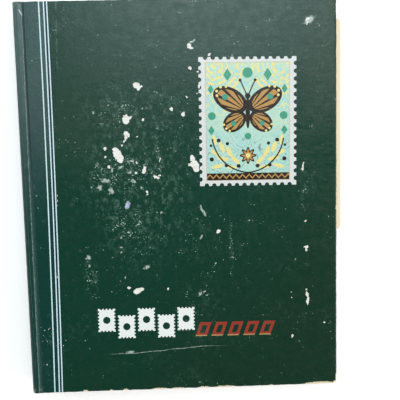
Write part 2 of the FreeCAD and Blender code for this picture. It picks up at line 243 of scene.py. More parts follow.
class Recipe(Nodes):
    """One finish, whose colour is laid in layers. Places are in mm: Object coordinates times 1000."""

    def __init__(self, name):
        self.finish = bpy.data.materials.new(name)
        self.finish.use_nodes = True
        super().__init__(self.finish.node_tree)
        self.colour = None
        metres = self.add("ShaderNodeTexCoord", "Object")
        self.place = self.vector("MULTIPLY", metres, (1000.0, 1000.0, 1000.0))
        self.flat = self.vector("MULTIPLY", self.place, (1.0, 1.0, 0.0))
        self.x, self.y = self.split(self.place)
        self.z = self.vector("DOT_PRODUCT", self.place, (0.0, 0.0, 1.0))

    def noise(self, size, detail=3.0, colour=False, stretch=None, rough=0.5):
        """Noise whose grains are about the given size in mm, optionally stretched along X, Y and Z."""
        place = self.place if stretch is None else self.vector("DIVIDE", self.place, stretch)
        inputs = {"Vector": place, "Scale": 1 / size, "Detail": detail, "Roughness": rough}
        return self.add("ShaderNodeTexNoise", "Color" if colour else "Fac", inputs)

    def mix(self, share, first, second):
        """The first colour, turned into the second by a share from 0 to 1."""
        return self.add("ShaderNodeMix", 2, {0: share, 6: first, 7: second}, data_type="RGBA")

    def lay(self, share, colour):
        """Lays another colour over the finish's own, by a share from 0 to 1."""
        self.colour = self.mix(share, self.colour, colour)

    def local(self, place, x, y, turn=0.0, size=(1.0, 1.0)):
        """The place seen from a frame at x, y that is turned by so many degrees and has the given size."""
        if turn:
            inputs = {"Vector": place, "Center": (x, y, 0.0), "Angle": -math.radians(turn)}
            place = self.add("ShaderNodeVectorRotate", 0, inputs, rotation_type="Z_AXIS")
        grow = (1 / size[0], 1 / size[1], 0.0)
        return self.vector("MULTIPLY_ADD", place, grow, (-x / size[0], -y / size[1], 0.0))

    def split(self, place):
        """X and Y of a place."""
        across = self.vector("DOT_PRODUCT", place, (1.0, 0.0, 0.0))
        return across, self.vector("DOT_PRODUCT", place, (0.0, 1.0, 0.0))

    def join(self, x, y):
        """The place with this X and Y."""
        return self.add("ShaderNodeCombineXYZ", 0, (x, y))

    def oval(self, place, x, y, half_width, half_height, turn=0.0):
        """Distance from the middle of an oval, counted so that it is 1 on the rim."""
        return self.vector("LENGTH", self.local(place, x, y, turn, (half_width, half_height)))

    def ovals(self, place, rows):
        """The least distance to any of several ovals: x, y, half width, half height and maybe a turn."""
        return functools.reduce(self.least, (self.oval(place, *row) for row in rows))

    def bump(self, height, distance, strength):
        """Normal tilted by the slope of a height, whose full step is so many mm."""
        inputs = {"Strength": strength, "Distance": distance * MM, "Height": height}
        return self.add("ShaderNodeBump", 0, inputs)

    def done(self, **values):
        """Feeds the shader with the colour and more; the names are its sockets', with underscores."""
        sockets = self.tree.nodes["Principled BSDF"].inputs
        self.feed(sockets["Base Color"], self.colour)
        for key, value in values.items():
            self.feed(sockets[key.replace("_", " ")], value)
        return self.finish


# Flakes of the front cover's laminate: x, y, half width, half height in mm, and maybe a turn in degrees.
FLAKES = (
    (-34.7, 54.6, 2.3, 3.3), (-31.4, 55.8, 1.3, 0.6, 30), (-41.1, 31.8, 2.6, 4.6, 22),
    (-39.4, 29.0, 2.4, 3.0), (-42.7, 35.0, 1.5, 1.4), (-34.8, 45.2, 1.5, 1.6),
    (-35.1, 42.6, 0.8, 2.2, -8), (-33.2, 44.1, 0.8, 0.9), (-36.4, 39.9, 0.6, 0.9, -20),
    (-37.8, 37.6, 0.6, 0.6), (-26.8, 76.8, 2.3, 2.0, -30), (-25.6, 75.2, 1.3, 1.6),
    (-23.9, 76.0, 0.9, 0.6, 20), (8.6, 101.4, 1.5, 2.0, 20), (10.0, 100.1, 1.0, 0.8),
    (9.9, 104.4, 0.7, 0.9, -35), (8.6, 87.4, 0.9, 1.0, 40), (13.6, 84.8, 0.9, 0.5, 30),
    (14.4, 75.4, 0.7, 1.4, -12), (3.4, 57.4, 1.1, 1.6, -15), (-4.3, 60.9, 1.2, 1.1),
    (-23.3, 54.4, 0.8, 0.8), (-27.6, 43.0, 0.8, 0.4, 35), (5.8, 68.6, 0.8, 0.5, -25),
    (8.9, 27.8, 1.6, 2.4, 10), (10.2, 23.6, 2.7, 3.0, 20), (11.2, 20.8, 1.9, 1.9),
    (7.0, 23.8, 1.2, 0.9, -30), (-23.6, 20.8, 1.3, 2.4, -16), (-16.2, 16.0, 1.6, 0.9, -20),
    (-13.8, 16.8, 1.1, 0.6, 15), (-14.3, 15.1, 0.8, 0.7), (-29.1, 19.2, 1.0, 0.6, 15),
    (-28.4, 25.8, 0.7, 0.8), (-31.6, 27.0, 1.3, 0.5), (-49.2, 35.8, 0.9, 1.0), (-49.2, 30.2, 0.7, 0.6),
    (-47.0, 23.5, 0.9, 1.0), (-13.0, 27.4, 0.5, 1.4, -14), (-22.3, 6.2, 0.7, 0.9),
    (-22.1, 4.4, 0.6, 0.5), (83.0, 20.6, 0.6, 2.8, -6), (85.0, -34.4, 1.4, 0.9, 10),
    (85.0, -36.2, 0.8, 1.0), (84.6, -16.4, 0.5, 0.6), (85.0, -64.2, 0.5, 0.5),
    (85.5, -67.6, 0.9, 2.3, 10), (86.0, -72.0, 0.8, 2.8, -8), (75.0, -96.8, 0.5, 1.3, -8),
    (97.5, -87.8, 0.6, 0.6), (-31.1, -61.7, 2.8, 1.9, 15), (-28.1, -60.5, 1.5, 1.2),
    (-36.7, -59.4, 1.2, 1.0), (-10.0, -60.8, 0.8, 0.7), (25.2, -22.0, 1.4, 1.0, 10),
    (74.3, -65.8, 0.35, 0.3), (74.8, -69.6, 0.5, 0.35), (87.0, 117.4, 2.4, 0.5, 32),
    (86.5, 115.0, 1.5, 0.4, 62), (13.0, 70.6, 0.5, 0.5), (21.6, 95.8, 0.9, 0.7, 25),
    (-82.5, 5.0, 0.15, 0.7), (-82.4, 1.8, 0.15, 0.9), (-82.5, -1.4, 0.12, 0.5),
    (-97.7, -85.3, 0.25, 0.25), (-95.4, -87.4, 0.25, 0.2), (-96.2, -90.9, 0.2, 0.2),
    (-97.0, -94.8, 0.25, 0.2), (-93.9, -95.0, 0.25, 0.25), (-92.8, -86.4, 0.2, 0.25),
    (-88.0, -98.3, 0.25, 0.2), (-83.0, -98.0, 0.25, 0.2), (-81.4, -94.8, 0.25, 0.25),
    (-95.0, -111.5, 0.2, 0.2), (-85.0, -50.3, 0.2, 1.0, 20),
)

# Thinly rubbed places where the ground still shows through, in the same order.
RUBS = (
    (-49.5, 14.4, 4.8, 1.8, -6), (-53.7, 9.8, 2.0, 2.6), (-46.1, 7.4, 2.6, 2.9, 30),
    (-36.1, -2.2, 1.5, 2.9, -18), (-63.2, -37.6, 2.2, 2.4, -20), (-62.9, -43.2, 1.1, 1.6),
    (-55.9, 59.6, 0.8, 1.5, 25), (-39.4, 23.0, 2.4, 1.4, 30), (-45.2, 21.2, 1.2, 2.6),
    (-33.5, 19.8, 2.0, 2.0), (-30.6, 13.6, 2.6, 1.2, -35), (15.6, -8.6, 1.1, 4.6, 30),
    (13.8, -5.4, 0.9, 2.2), (13.6, -25.4, 0.9, 2.8, -30), (22.9, -43.8, 0.9, 1.1),
    (12.0, -64.8, 1.2, 2.4, -35), (15.0, -63.4, 0.8, 2.0, -40), (16.4, -66.0, 1.6, 0.7, 10),
    (-37.2, -104.6, 3.8, 1.2, 4), (87.9, 116.9, 5.6, 3.2, 32), (11.6, 104.8, 2.2, 1.0, 40),
    (-25.8, 9.0, 1.6, 1.0, 30), (-13.0, -8.2, 0.8, 1.8, -30), (-23.8, -45.4, 3.4, 1.7, 28),
    (-40.8, -24.4, 1.1, 1.3), (-41.1, -31.0, 1.8, 0.8), (-40.9, -34.8, 1.0, 1.0),
)

# Bare board along the worn edges of the front cover, in the same order.
BARE_EDGES = (
    (-69.0, -132.2, 2.0, 1.6), (-51.5, -132.3, 1.2, 1.3), (-41.5, -132.2, 2.4, 1.5),
    (-18.0, -132.4, 7.0, 1.5), (-5.0, -132.3, 6.0, 1.3), (13.0, -132.4, 5.0, 1.5),
    (28.0, -132.4, 9.0, 1.5), (60.0, -132.4, 2.4, 1.2), (94.6, -132.4, 13.0, 2.2),
    (106.6, -128.0, 1.4, 5.0), (105.4, -131.8, 2.4, 1.5, -45), (106.3, 124.0, 0.9, 6.0),
    (106.3, -7.8, 0.9, 2.2),
)

# Patches of the front cover with many small specks: x, y, half width, half height in mm, and share.
WORN_PATCHES = (
    (-36.0, 18.0, 32.0, 15.0, 1.0), (-30.0, -20.0, 24.0, 25.0, 0.45), (-36.0, -16.0, 14.0, 17.0, 0.85),
    (-46.0, 60.0, 24.0, 15.0, 0.6), (10.0, -26.0, 18.0, 22.0, 0.4), (33.6, -34.0, 2.0, 26.0, 0.75),
    (-62.0, -52.0, 6.0, 17.0, 0.75), (-8.0, 66.0, 20.0, 24.0, 0.45), (84.5, 0.0, 4.0, 24.0, 0.7),
)

# Zones of the front cover with a print of their own: lowest x, highest x, lowest y, highest y in mm.
HINGE_ZONE = (-130.0, -74.0, -140.0, 140.0)
STAMP_ZONE = (11.0, 84.0, 5.0, 98.0)
ORNAMENT_ZONE = (-64.0, 69.0, -101.0, -70.0)
WHOLE_FIELD = (-130.0, 130.0, -140.0, 140.0)

# The printed stamp, with half its width and height in mm, and its turn in degrees.
STAMP_MIDDLE = (46.4, 51.4)
STAMP_TURN = -0.5
STAMP_HALF = (32.5, 42.6)
PERFORATION_PITCH = 5.08
PERFORATION_RADIUS = 1.5
PICTURE_HALF = (27.7, 38.8)
PICTURE_LINE = 0.35

# Inks of the printed stamp's picture.
MINT = paint(172, 217, 208)
GREEN = paint(66, 158, 130)
YELLOW = paint(238, 224, 146)
BROWN = paint(44, 31, 23)
OCHRE = paint(190, 146, 82)

# Stripes down the hinge side: x of the middle before lean and bow, and half the width, in mm.
STRIPES = ((-89.3, 0.38), (-86.15, 0.38), (-84.1, 0.37))
STRIPE_SLOPE = 0.0081
STRIPE_BOW = 0.62
BOW_HALF_HEIGHT = 120.0

# The two rows of five ornaments: the middle of the row, the pitch and half the size of one, in mm.
# BLANK_BITES is the pitch and the radius of the bites.
BLANK_ROW = (-25.5, -84.2)
BLANK_PITCH = 13.6
BLANK_HALF = (5.9, 8.1)
BLANK_BITES = (2.36, 0.72)
FRAME_ROW = (35.6, -90.0)
FRAME_PITCH = 11.0
FRAME_HALF = (3.9, 4.9)
FRAME_OPENING = (1.7, 2.7)
FRAME_FOOT = -4.1

# Where the back cover's worn rim begins, and the lines along the spine and joints, in mm.
RIM_X = 105.0
RIM_Y = 131.0
RIDGE_X = -102.2
CREASE_X = -100.5
# GROOVE_SHADE_X is where the painted shade of the front groove lies
GROOVE_SHADE_X = -98.8


def laminate_ground(recipe, colours):
    """Green of the wrap with fine grain, and a painted tint of warmer light towards the fore edge and the
    foot.
    """
    across = recipe.noise(60.0, 2.0) * 60.0 + recipe.x * 0.6
    warm_light_tint = recipe.ease(recipe.y * -0.8 + across, 30.0, 185.0)
    recipe.colour = colours.ground
    # painted warm light: the ground is tinted warmer towards the fore edge and the foot
    recipe.lay(warm_light_tint, paint(17, 52, 35))
    grain = recipe.ease(recipe.noise(0.9, 3.0), 0.35, 0.75, 0.0, 0.07)
    recipe.lay(grain, paint(60, 104, 88))


def hinge_margin(recipe, colours):
    """Lays blue-green on the spine side of the second stripe, under a painted grey reflection that grows
    towards the head.

    It gives back X less the lean of the stripes and less their bow, which reaches STRIPE_BOW mm towards
    the fore edge at mid-height.
    """
    bow = recipe.y * recipe.y * (STRIPE_BOW / BOW_HALF_HEIGHT ** 2) - STRIPE_BOW
    past_stripe = recipe.y * -STRIPE_SLOPE + recipe.x + bow
    margin = past_stripe < STRIPES[1][0]
    recipe.lay(margin * 0.9, colours.margin)
    # painted reflection: the margin greys towards the head, where light is reflected
    recipe.lay(margin * recipe.ease(recipe.y, -30.0, 105.0, 0.0, 0.34), paint(98, 120, 122))
    return past_stripe


def print_stripes(recipe, colours):
    """Three white stripes down the hinge side, with dark blue between the second and third."""
    past_stripe = hinge_margin(recipe, colours)
    between = (past_stripe > STRIPES[1][0]) * (past_stripe < STRIPES[2][0])
    recipe.lay(between, paint(34, 48, 66))
    apart = recipe.least(*[abs(past_stripe - middle) / half for middle, half in STRIPES])
    recipe.lay(apart < 1.0, colours.stripe)
    # a faint broken crease near the head, on the field side of the stripes
    crease = abs(recipe.y * -0.024 + recipe.x + 80.4)
    share = recipe.ease(crease, 0.2, 0.6, 0.2, 0.0) * recipe.ease(recipe.y, 80.0, 100.0)
    recipe.lay(share * recipe.ease(recipe.noise(6.0, 3.0), 0.4, 0.6), paint(150, 172, 160))


def bite_offset(recipe, value, pitch, last):
    """Distance past the nearest bite; the bites lie half a pitch off the middle, up to the last one."""
    step = recipe.math("FLOOR", value / pitch) + 0.5
    step = recipe.most(recipe.least(step, last), -last)
    return step * -pitch + value


def perforated(recipe, p, q, half, pitch, bite):
    """Mask of an upright sheet with round bites along its four edges and a whole tooth at each corner."""
    last_p, last_q = (math.floor((edge - 0.9 * bite) / pitch) - 0.5 for edge in half)
    over_p = abs(p) - half[0]
    over_q = abs(q) - half[1]
    inside = recipe.most(over_p, over_q) < 0.0
    inset = 0.2 * bite
    side = recipe.vector("LENGTH", recipe.join(over_p + inset, bite_offset(recipe, q, pitch, last_q)))
    end = recipe.vector("LENGTH", recipe.join(bite_offset(recipe, p, pitch, last_p), over_q + inset))
    return inside * (recipe.least(side, end) > bite)


def print_scenery(recipe, half, m, q):
    """Mint ground with wavy lines and curls, two sprigs with berries, and discs and lozenges.

    The lines are contour lines of a slow noise, pale above and dark below. The curls are thin rings round
    two places in the upper corners, broken up by noise.
    """
    recipe.colour = MINT
    recipe.lay(recipe.ease(recipe.noise(9.0, 2.0), 0.4, 0.62, 0.0, 0.6), paint(190, 223, 206))
    waves = recipe.math("PINGPONG", recipe.noise(15.0, 2.0) * 26.0, 1.0)
    recipe.lay(recipe.ease(waves, 0.7, 0.9, 0.0, 0.85) * recipe.ease(q, -12.0, 4.0), YELLOW)
    recipe.lay(recipe.ease(waves, 0.84, 0.94, 0.0, 0.5) * recipe.ease(q, -4.0, -16.0), BROWN)
    ring = recipe.math("PINGPONG", recipe.oval(half, 22.0, 37.0, 1.0, 1.0), 1.7)
    patch = recipe.oval(half, 22.0, 37.0, 19.0, 21.0) < 1.0
    recipe.lay((ring > 0.95) * patch * (recipe.noise(3.5, 1.0) > 0.45), YELLOW)
    leaves = recipe.ovals(half, (
        (8.5, -25.5, 3.6, 1.4, 40), (12.5, -20.0, 3.9, 1.5, 62), (17.0, -24.5, 3.9, 1.4, 12),
        (17.5, -16.8, 3.8, 1.5, 70), (22.0, -20.5, 3.4, 1.3, 30), (22.5, -12.0, 3.4, 1.3, 80),
        (11.0, -30.2, 3.4, 1.2, 5), (20.5, -29.5, 4.2, 1.2, -14),
    ))
    recipe.lay(leaves < 1.0, YELLOW)
    stem = abs(recipe.oval(half, -2.0, -8.0, 26.0, 26.0) - 1.0)
    stem = (stem < 0.018) * (q < -11.0)
    berries = recipe.ovals(half, (
        (6.4, -29.4, 1.3, 1.3), (14.6, -29.0, 1.2, 1.2), (24.4, -24.8, 1.4, 1.4),
        (19.6, -12.2, 1.3, 1.3), (13.8, -14.4, 1.1, 1.1), (24.8, -15.6, 0.9, 0.9),
    ))
    recipe.lay(recipe.most(stem, berries < 1.0), BROWN)
    shapes = recipe.ovals(half, ((0.0, 32.2, 3.4, 3.4), (24.0, 4.0, 2.6, 2.6), (0.0, -9.6, 2.2, 2.2)))
    for x, y, wide, high in ((13.4, 31.0, 2.8, 4.2), (24.4, -5.6, 2.2, 3.2), (24.6, 21.6, 2.0, 3.0)):
        lozenge = (abs(q - y) * (wide / high) + abs(m - x)) / wide
        shapes = recipe.least(shapes, lozenge)
    recipe.lay(shapes < 1.0, GREEN)


def print_butterfly(recipe, half, m, q):
    """Two wings on each side, with ochre panels cut by veins that fan out from the body."""
    wings = recipe.ovals(half, ((11.6, 14.6, 12.4, 7.6, 30), (8.9, 0.2, 8.6, 6.2, -38)))
    recipe.lay(wings < 1.0, BROWN)
    veins = recipe.math("PINGPONG", recipe.math("ARCTAN2", q - 6.5, m) * 8.0, 1.0)
    recipe.lay((wings < 0.76) * (veins > 0.34) * (m > 2.4), OCHRE)
    rim_spots = recipe.ovals(half, (
        (20.4, 17.4, 0.9, 0.9), (20.6, 20.4, 0.9, 0.9), (18.0, 23.0, 0.9, 0.9), (14.4, 23.2, 0.8, 0.8),
        (14.4, -4.4, 0.8, 0.8), (12.2, -6.0, 0.8, 0.8), (16.0, -1.8, 0.8, 0.8),
    ))
    recipe.lay(rim_spots < 1.0, YELLOW)
    eyes = recipe.ovals(half, ((15.0, 16.4, 2.0, 2.0), (9.6, -1.0, 1.7, 1.7)))
    recipe.lay(eyes < 1.0, GREEN)
    body = recipe.ovals(half, ((0.0, 6.0, 1.5, 10.5), (0.0, 17.0, 1.9, 1.9), (5.0, 27.4, 1.0, 1.0)))
    feeler = abs(m - (q * 0.45 - 7.4)) < 0.45
    feeler = feeler * ((q > 17.0) * (q < 27.4))
    recipe.lay(recipe.most(feeler, body < 1.0), BROWN)


def print_foot(recipe, half, p, q):
    """A rosette of eight petals under the butterfly, and a zigzag band along the foot."""
    turn = recipe.math("ARCTAN2", q + 22.5, p)
    petals = recipe.math("COSINE", turn * 8.0) * 1.1 + 4.6
    out = recipe.oval(half, 0.0, -22.5, 1.0, 1.0)
    recipe.lay(out < petals, BROWN)
    recipe.lay(out + 1.4 < petals, OCHRE)
    recipe.lay(out < 1.5, YELLOW)
    zigzag = recipe.math("PINGPONG", p + 50.0, 2.2) * 1.1 - 37.6
    band = recipe.mix(abs(q - zigzag) < 0.55, BROWN, OCHRE)
    recipe.lay(q < -34.2, band)


def print_stamp(recipe, colours):
    """The printed stamp: a perforated white sheet with a picture inside its border.

    Most of the picture is mirrored: m is the distance from its upright middle line.
    """
    p, q = recipe.split(recipe.local(recipe.flat, *STAMP_MIDDLE, STAMP_TURN))
    sheet = perforated(recipe, p, q, STAMP_HALF, PERFORATION_PITCH, PERFORATION_RADIUS)
    recipe.lay(sheet, colours.stamp_border)
    over = recipe.most(abs(p) - PICTURE_HALF[0], abs(q) - PICTURE_HALF[1])
    recipe.lay(over < PICTURE_LINE, paint(190, 175, 150))
    border = recipe.colour
    m = abs(p)
    half = recipe.join(m, q)
    print_scenery(recipe, half, m, q)
    print_butterfly(recipe, half, m, q)
    print_foot(recipe, half, p, q)
    recipe.colour = recipe.mix(over < 0.0, border, recipe.colour)


def nearest_of_five(recipe, value, pitch):
    """Number of the nearest of five places in a row, from -2 to 2, and the distance past it."""
    number = recipe.math("ROUND", value / pitch)
    number = recipe.most(recipe.least(number, 2.0), -2.0)
    return number, number * -pitch + value


def print_ornaments(recipe, colours):
    """Below the middle: five blank stamps with a disc each, and five slanted red frames with gold feet."""
    p, q = recipe.split(recipe.local(recipe.flat, *BLANK_ROW, STAMP_TURN))
    number, p = nearest_of_five(recipe, p, BLANK_PITCH)
    # every second blank stands higher
    q = recipe.math("COSINE", number * math.pi) * -2.4 + q
    sheet = perforated(recipe, p, q, BLANK_HALF, *BLANK_BITES)
    disc = recipe.vector("LENGTH", recipe.join(p, q)) < 2.5
    recipe.lay(sheet * (1.0 - disc), paint(238, 242, 240))
    p, q = recipe.split(recipe.local(recipe.flat, *FRAME_ROW, STAMP_TURN))
    p = abs(nearest_of_five(recipe, q * -0.36 + p, FRAME_PITCH)[1])
    block = (p < FRAME_HALF[0]) * (abs(q) < FRAME_HALF[1])
    opening = (p < FRAME_OPENING[0]) * (abs(q) < FRAME_OPENING[1])
    red = recipe.mix(q < FRAME_FOOT, paint(152, 58, 42), paint(184, 146, 98))
    recipe.lay(block - opening, red)


def lay_painted_sheen(recipe):
    """A painted sheen of reflected light towards the head, by the hinge and the fore edge, with level
    streaks in it.
    """
    by_hinge = recipe.ease(recipe.x, 15.0, -75.0) * recipe.ease(recipe.y, 0.0, 50.0)
    by_hinge = by_hinge * recipe.ease(recipe.y, 60.0, 120.0, 1.0, 0.0)
    by_fore_edge = recipe.ease(recipe.x, 70.0, 104.0) * recipe.ease(recipe.y, 25.0, 85.0)
    share = recipe.most(by_hinge * 0.022, by_fore_edge * 0.04)
    level = recipe.noise(1.1, 4.0, stretch=(9.0, 1.0, 1.0), rough=0.7)
    streaks = recipe.ease(level, 0.42, 0.66, 0.0, 0.035)
    streaks = streaks * recipe.ease(recipe.x + recipe.y, 30.0, 130.0)
    # painted sheen: reflected light laid on as a pale grey
    recipe.lay(share + streaks, paint(194, 178, 170))


def lay_fine_rubs(recipe, everywhere):
    """Milky clouds and small broken specks, thickest in a tall patch left of the stamp.

    The specks lie where a fine noise, a coarser one and the wear of the place add up to enough.
    """
    where = recipe.ease(recipe.noise(26.0, 2.0), 0.42, 0.75, 0.0, 0.35)
    cloudy = where
    if everywhere:
        for x, y, half_width, half_height, most in WORN_PATCHES:
            patch = recipe.oval(recipe.flat, x, y, half_width, half_height)
            where = recipe.most(where, recipe.ease(patch, 0.45, 1.15, most, 0.0))
        tall = recipe.ease(recipe.oval(recipe.flat, -28.0, 22.0, 44.0, 82.0), 0.45, 1.05, 1.0, 0.0)
        cloudy = recipe.most(where, tall)
    milky = recipe.noise(2.8, 8.0, stretch=(1.0, 1.4, 1.0), rough=0.76)
    recipe.lay(recipe.ease(milky, 0.5, 0.62, 0.0, 0.21) * cloudy, paint(136, 174, 156))
    dense = recipe.noise(5.5, 3.0) * 0.5 + where * 0.13
    grains = recipe.noise(1.2, 3.0, rough=0.6) + dense
    recipe.lay(recipe.ease(grains, 0.97, 1.06, 0.0, 0.85), paint(196, 220, 209))


def ragged(recipe, amount, size):
    """The flat place pushed about by noise, so that outlines drawn on it are torn."""
    push = recipe.noise(size, 5.0, colour=True, rough=0.6)
    push = recipe.vector("SUBTRACT", push, (0.5, 0.5, 0.5))
    push = recipe.vector("MULTIPLY", push, (amount, amount, 0.0))
    return recipe.vector("ADD", recipe.flat, push)


def touching(rows, zone, spare=3.0):
    """The ovals that reach into a zone, with some room for their torn outlines."""
    low_x, high_x, low_y, high_y = zone
    kept = []
    for row in rows:
        reach = max(row[2], row[3]) + spare
        if low_x - reach < row[0] < high_x + reach and low_y - reach < row[1] < high_y + reach:
            kept.append(row)
    return kept


def lay_rubs(recipe, torn):
    """Thinly rubbed ovals, broken up by noise, and one bluish rub."""
    broken = recipe.noise(1.5, 5.0, rough=0.65) * 2.0
    share = recipe.ease(broken - recipe.ovals(torn, RUBS), 0.2, 0.65, 0.0, 0.8)
    recipe.lay(share, paint(190, 204, 196))
    bluish = recipe.oval(torn, -35.6, -2.5, 1.5, 2.7, -20) < 1.0
    bluish = bluish * recipe.ease(recipe.noise(0.9, 3.0), 0.38, 0.6, 0.4, 1.0)
    recipe.lay(bluish, paint(190, 198, 226))


def lay_scratch(recipe):
    """A long thin scratch near the foot that rises towards the fore edge and fades out."""
    course = recipe.ease(recipe.x, -42.0, 20.0, -106.2, -102.6)
    offset = recipe.y - (recipe.noise(7.0, 2.0) * 1.4 + course)
    near = recipe.ease(abs(offset), 0.12, 0.3, 1.0, 0.0)
    faint = recipe.ease(recipe.x, -58.0, -37.0, 0.0, 0.8) * recipe.ease(recipe.x, 6.0, 33.0, 1.0, 0.0)
    dashes = recipe.ease(recipe.noise(2.0, 4.0), 0.34, 0.55, 0.25, 1.0)
    recipe.lay(near * faint * dashes, paint(176, 190, 178))


def laminate_gloss(recipe, bare):
    """Satin laminate over the colour, dull where paper or board lies bare."""
    rough = recipe.ease(recipe.noise(5.0, 4.0), 0.3, 0.75, 0.24, 0.34)
    rough = recipe.most(rough, bare * 0.85)
    return recipe.done(Roughness=rough, Normal=recipe.bump(recipe.noise(1.3, 3.0), 0.08, 0.9))


def front_finish(colours, top, name, zone, add_print=None):
    """Printed paper under laminate in one zone: print, rubbing, flakes, scratches and worn edges.

    Only the plain field has rubs, the scratch and bare edges.
    """
    recipe = Recipe(name)
    plain = add_print is None
    laminate_ground(recipe, colours)
    if not plain:
        add_print(recipe, colours)
    lay_painted_sheen(recipe)
    lay_fine_rubs(recipe, plain)
    torn = ragged(recipe, 2.8, 1.5)
    if plain:
        lay_rubs(recipe, torn)
    bare = 0.0
    flakes = touching(FLAKES, zone)
    if flakes:
        bare = recipe.ovals(torn, flakes) < 1.0
        aged = recipe.ease(recipe.noise(2.5, 3.0), 0.45, 0.7, 0.0, 0.6)
        recipe.lay(bare, recipe.mix(aged, colours.flake, paint(218, 204, 184)))
    if plain:
        lay_scratch(recipe)
        edge = recipe.ovals(ragged(recipe, 2.4, 0.9), BARE_EDGES) < 1.0
        # on the side faces only the part nearest the outer edge is bare
        depth = recipe.noise(2.2, 4.0) * 2.4 + recipe.z
        edge = edge * (depth > top - 0.3)
        recipe.lay(edge, colours.board)
        bare = recipe.most(bare, edge)
    return laminate_gloss(recipe, bare)


def fold_finish(colours, name):
    """The same laminate over the spine and the joints: crinkled, with a broken pale crease along it, painted
    highlights on the shoulder and the slope, and a painted shade in the groove.
    """
    recipe = Recipe(name)
    laminate_ground(recipe, colours)
    hinge_margin(recipe, colours)
    along = recipe.noise(1.2, 4.0, stretch=(0.6, 6.0, 0.6))
    recipe.lay(recipe.ease(along, 0.56, 0.72, 0.0, 0.16), paint(120, 152, 148))
    # painted highlight on the spine's shoulder, towards the head
    headward = recipe.ease(recipe.y, -60.0, 120.0, 0.0, 0.05)
    ridge_highlight = recipe.ease(abs(recipe.x - RIDGE_X), 1.2, 2.8, 1.0, 0.0)
    ridge_highlight = ridge_highlight * recipe.ease(recipe.noise(3.0, 5.0, stretch=(1.0, 4.0, 1.0)), 0.3, 0.65, 0.3, 1.0)
    recipe.lay(ridge_highlight * headward, paint(128, 148, 148))
    # painted light on the slope beside the crease, towards the foot, and the crease itself
    line = recipe.y * -0.005 + recipe.x - CREASE_X
    lit_towards_foot = recipe.ease(recipe.y, 60.0, -60.0, 0.0, 0.2)
    slope = recipe.ease(line, 0.0, 2.8, 1.0, 0.0) * recipe.ease(line, -0.5, 0.1)
    recipe.lay(slope * lit_towards_foot, paint(128, 160, 154))
    line = recipe.noise(5.0, 3.0) * 0.8 + line - 0.4
    line = recipe.ease(abs(line), 0.1, 0.45, 0.46, 0.0)
    line = line * recipe.ease(recipe.noise(1.2, 4.0), 0.36, 0.62, 0.25, 1.0)
    recipe.lay(line, paint(170, 186, 180))
    nick = recipe.oval(ragged(recipe, 0.8, 1.0), -100.4, 125.0, 0.45, 2.4, 24) < 1.0
    recipe.lay(nick * (recipe.z > 12.0), paint(176, 188, 186))
    # painted shade of the groove: a dark line beside the board, towards the head
    groove_shade = recipe.ease(abs(recipe.x - GROOVE_SHADE_X), 0.25, 0.8, 1.0, 0.0)
    recipe.lay(groove_shade * recipe.ease(recipe.y, -10.0, 70.0, 0.0, 0.5), paint(16, 34, 34))
    worn = recipe.ease(recipe.noise(2.4, 5.0), 0.53, 0.62, 0.0, 0.7)
    recipe.lay(worn * recipe.ease(abs(recipe.y), 127.0, 132.0), paint(190, 184, 164))
    rough = recipe.ease(recipe.noise(4.0, 4.0), 0.3, 0.75, 0.28, 0.42)
    crinkle = recipe.noise(2.2, 5.0, stretch=(1.0, 2.5, 1.0))
    return recipe.done(Roughness=rough, Normal=recipe.bump(crinkle, 0.22, 0.6))


def back_finish(colours):
    """Plain laminate of the back cover, with scattered scuffs and pale rubbed edges."""
    recipe = Recipe("plain_laminate")
    laminate_ground(recipe, colours)
    scuff = recipe.noise(7.0, 5.0, stretch=(1.0, 2.6, 1.0))
    recipe.lay(recipe.ease(scuff, 0.6, 0.72, 0.0, 0.4), paint(120, 145, 132))
    chips = recipe.ease(recipe.noise(5.0, 6.0), 0.69, 0.7)
    recipe.lay(chips, colours.flake)
    edge = recipe.most(recipe.x - RIM_X, abs(recipe.y) - RIM_Y)
    edge = recipe.noise(2.0, 5.0) * 2.6 + edge
    # worn in stretches along the edges, and only near the outer face
    edge = recipe.ease(recipe.noise(22.0, 2.0), 0.42, 0.62, 1.0, 0.0) * -1.6 + edge
    edge = recipe.ease(recipe.z, 0.8, 2.4) * -1.2 + edge
    bare = recipe.ease(edge, 1.7, 1.9)
    recipe.lay(bare, colours.board)
    return laminate_gloss(recipe, recipe.most(chips, bare))


def paper_finish(name, base, fleck, foxed=0.0, edge_tone=None):
    """Paper or card: fibres, a slow change of tone, brown age spots and toned edges."""
    recipe = Recipe(name)
    recipe.colour = base
    recipe.lay(recipe.ease(recipe.noise(35.0, 3.0), 0.3, 0.7, 0.0, 0.35), fleck)
    fibre = recipe.noise(0.6, 4.0, stretch=(3.0, 1.0, 1.0))
    recipe.lay(recipe.ease(fibre, 0.5, 0.75, 0.0, 0.3), fleck)
    if foxed:
        recipe.lay(recipe.ease(recipe.noise(6.0, 6.0), 0.66, 0.76, 0.0, foxed), paint(178, 142, 92))
    if edge_tone is not None:
        start, end, toned = edge_tone
        recipe.lay(recipe.ease(recipe.x, start, end), toned)
    rough = recipe.ease(recipe.noise(3.0, 3.0), 0.3, 0.7, 0.72, 0.9)
    return recipe.done(Roughness=rough, Normal=recipe.bump(recipe.noise(0.5, 4.0), 0.04, 0.5))


def linen_finish(colours):
    """Plain weave: warp and weft threads, each a sine of X or Y, crossing over and under."""
    recipe = Recipe("book_linen")
    warp = recipe.math("SINE", recipe.x * (math.pi / WEAVE_PITCH))
    weft = recipe.math("SINE", recipe.y * (math.pi / WEAVE_PITCH))
    over = warp * weft > 0.0
    weave = abs(warp) * over + abs(weft) * (1.0 - over)
    slub = recipe.noise(1.5, 3.0, stretch=(1.0, 6.0, 1.0))
    recipe.colour = colours.linen
    recipe.lay(recipe.ease(slub, 0.35, 0.7, 0.0, 0.5), paint(205, 194, 166))
    recipe.lay(recipe.ease(weave, 0.0, 0.6, 0.4, 0.0), paint(160, 148, 120))
    return recipe.done(Roughness=0.85, Sheen_Weight=0.2, Normal=recipe.bump(weave, 0.08, 0.7))


